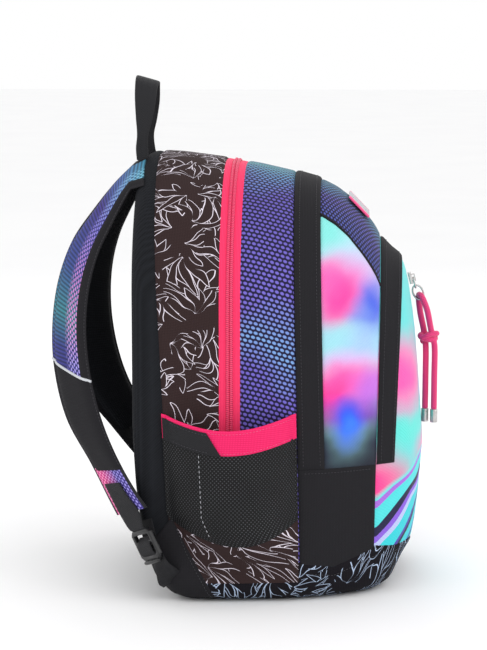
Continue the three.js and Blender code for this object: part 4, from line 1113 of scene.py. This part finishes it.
shares = np.linspace(0, SPLIT, LONGEST + 1)
for side, way in (("left", 1), ("right", -1)):
    flip = np.array((way, 1, 1))
    a, b = (np.vstack([np.linspace(sewn, edge[0], SEWN + 1)[:-1], edge]) * flip for sewn, edge in
            zip(np.array(SEWN_IN, float), (stations(NECK_EDGE, shares), stations(OUTER_EDGE, shares))))
    # The face that looks away from the wearer's back has a band's normal times OUTWARD
    over = np.cross((b - a)[60], np.gradient((a + b) / 2, axis=0)[60])
    OUTWARD = 1 if over[1] > 0 else -1
    strap = band(f"padded_strap_{side}", a, b, strap_half, [strap_mesh, black_polyester, air_mesh], 30,
                 strap_cloth)
    fixed(strap, f"strap_{side}", "purple_mesh", f"shoulder_strap_{side}")
    bar = [on_face(a, b, bar_at(s) / SPLIT * LONGEST + SEWN, s, 0.2) for s in np.linspace(-0.97, 0.97, 40)]
    shine = tube(f"reflective_bar_{side}", bar, 1.5, [reflective], sides=10, up=(0, 1, 0.3))
    fixed(shine, f"strap_{side}", "purple_mesh")
    rows = [[on_face(a, b, j, s) for j in range(7, 152)] for s in (-0.7, 0.93)]
    stitched(f"strap_stitches_{side}", rows, black_thread, "black_fabric", f"strap_{side}")

    end_shares = np.linspace(SPLIT - 0.006, 0.96, 40)
    a, b = stations(NECK_EDGE, end_shares) * flip, stations(OUTER_EDGE, end_shares) * flip
    end = band(f"strap_end_mesh_{side}", a, b, lambda s, t: 1.4 + 1.2 * max(0, 1 - abs(s / 0.84) ** 6),
               [end_mesh, webbing_cloth], 20,
               lambda s, t, face: 1 if abs(s) > 0.86 or face * OUTWARD < 0 else 0)
    fixed(end, f"strap_{side}", "purple_mesh", f"strap_end_{side}")

    edges = [stations([on_end(0.87, 0.5 + 0.26 * q), on_end(0.92, 0.5 + 0.28 * q),
                       on_end(0.965, 0.5 + 0.3 * q), lock_point(-12.5 * q, -19.5, 2.4),
                       lock_point(-12.5 * q, -18, -1.2)],
                      np.linspace(0, 1, 40)) * flip for q in (-1, 1)]
    tab = band(f"strap_tab_webbing_{side}", *edges, lambda s, t: 0.9, [webbing_cloth], 14)
    fixed(tab, f"strap_{side}", "black_fabric", f"strap_tab_{side}")

    refined(f"ladder_lock_{side}", f"ladder_lock_moulding_{side}", acetal, "buckle_plastic", f"lock_{side}",
            0.9)
    lip = tube(f"ladder_lock_lip_{side}", [lock_point(x, 15.6, 2.6 + 0.9 * (1 - (x / 13) ** 2)) * flip
                                           for x in np.linspace(-12.5, 12.5, 17)], 1.9, [acetal], sides=12)
    fixed(lip, f"lock_{side}", "buckle_plastic")
    # The webbing's turn over the lock's middle bar
    run = [(12.5, -2.6), (9.5, 1.5), (5.5, 4.0), (0, 4.1), (-2.5, 4.0), (-5.5, 1.5), (-9.0, -2.6)]
    edges = [stations([lock_point(12.3 * q, *p) for p in run], np.linspace(0, 1, 30)) * flip for q in (-1, 1)]
    wrap = band(f"lock_webbing_turn_{side}", *edges, lambda s, t: 0.8, [webbing_cloth], 14)
    fixed(wrap, f"lock_{side}", "black_fabric")

    edges = [stations([(-147, y - 4, z - 6), (-155.6, y, z),
                       *[lock_point(12.5 * q, *p) for p in ((20, -5.2), (0, -5.4), (-24, -10))]],
                      np.linspace(0, 1, 60)) * flip for q, y, z in ((1, 76, 21), (-1, 57, 36))]
    lower = band(f"adjusting_webbing_{side}", *edges, lambda s, t: 0.8, [webbing_cloth], 14)
    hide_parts(f"lower_webbing_{side}")
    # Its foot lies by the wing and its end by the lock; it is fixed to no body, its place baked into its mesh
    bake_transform(lower)

# ---------------------------------------------------------------------------------------------------
# Grab handle: one length of stiff 25 mm webbing, pinched together where both its ends enter the seam
# above the back panel.
HANDLE = [(-39, 99, 430, 7.5), (-37, 101, 441.5, 6.5), (-35, 101, 456, 5.5), (-31, 100, 472, 8),
          (-25, 99, 492, 10.5), (-13, 98.5, 508, 11.5), (0, 98, 512.5, 12)]  # place and half width
whole = HANDLE + [(-x, *rest) for x, *rest in HANDLE[-2::-1]]
edges = [stations([(x, y + q * w, z + q * 0.28 * w) for x, y, z, w in whole], np.linspace(0, 1, 120))
         for q in (1, -1)]
handle = band("grab_handle_webbing", *edges, lambda s, t: 1.3, [webbing_cloth], 16)
fixed(handle, "handle", "black_fabric", "grab_handle")

# ---------------------------------------------------------------------------------------------------
# Badge: a soft moulded plate with a raised rim and pink ends, moulded in one colour over another and
# sewn on the ribbed top.

# Soft PVC: satin grey with pink ends and a plain slanting hatch, 3 mm apart
badge_rubber, tree, shader = finish("moulded_soft_pvc", 0.45)
place = add(tree, "TexCoord", out=3)
parts = add(tree, "SeparateXYZ", {0: place}).node
side = add(tree, "Math", {0: parts.outputs[0]}, operation="ABSOLUTE")
ends = add(tree, "MapRange", {"Value": side, "From Min": 0.0305, "From Max": 0.0312})
sized = add(tree, "VectorMath", {0: place, 1: (1000, 1000, 1000)}, operation="MULTIPLY")
hatch = add(tree, "TexWave", {"Vector": sized, "Scale": 0.1}, 1, bands_direction="DIAGONAL")
lines = add(tree, "MapRange", {"Value": hatch, "From Min": 0.62, "From Max": 0.74})
grey = add(tree, "Mix", {0: lines, 6: "8d8f96", 7: "d9dade"}, 2, data_type="RGBA")
surface(shader, (ends, grey, "ff5a94"), lines, 0.4, 0.4)
refined("badge", "badge_plate", badge_rubber, "badge", "bag", 0.9)

# ---------------------------------------------------------------------------------------------------
# Inside the bag: the stiff boards in the back and base, and the plain woven sleeve, divider and lining,
# all cut flat and sewn in.

# Polyethylene board and plain-woven lining: dull greys, with a fine grain or weave in the surface
for name, nodes_in, colours in (
        ("polyethylene_board", ("back_board", "base_board"), ("2c2e35", "383a42")),
        ("woven_lining", ("laptop_sleeve", "compartment_divider", "front_pocket_lining"),
         ("35353a", "414147"))):
    made = grained(name, 0.8, 600, *colours)
    for node in nodes_in:
        nodes[node].data.materials.clear()
        nodes[node].data.materials.append(made)
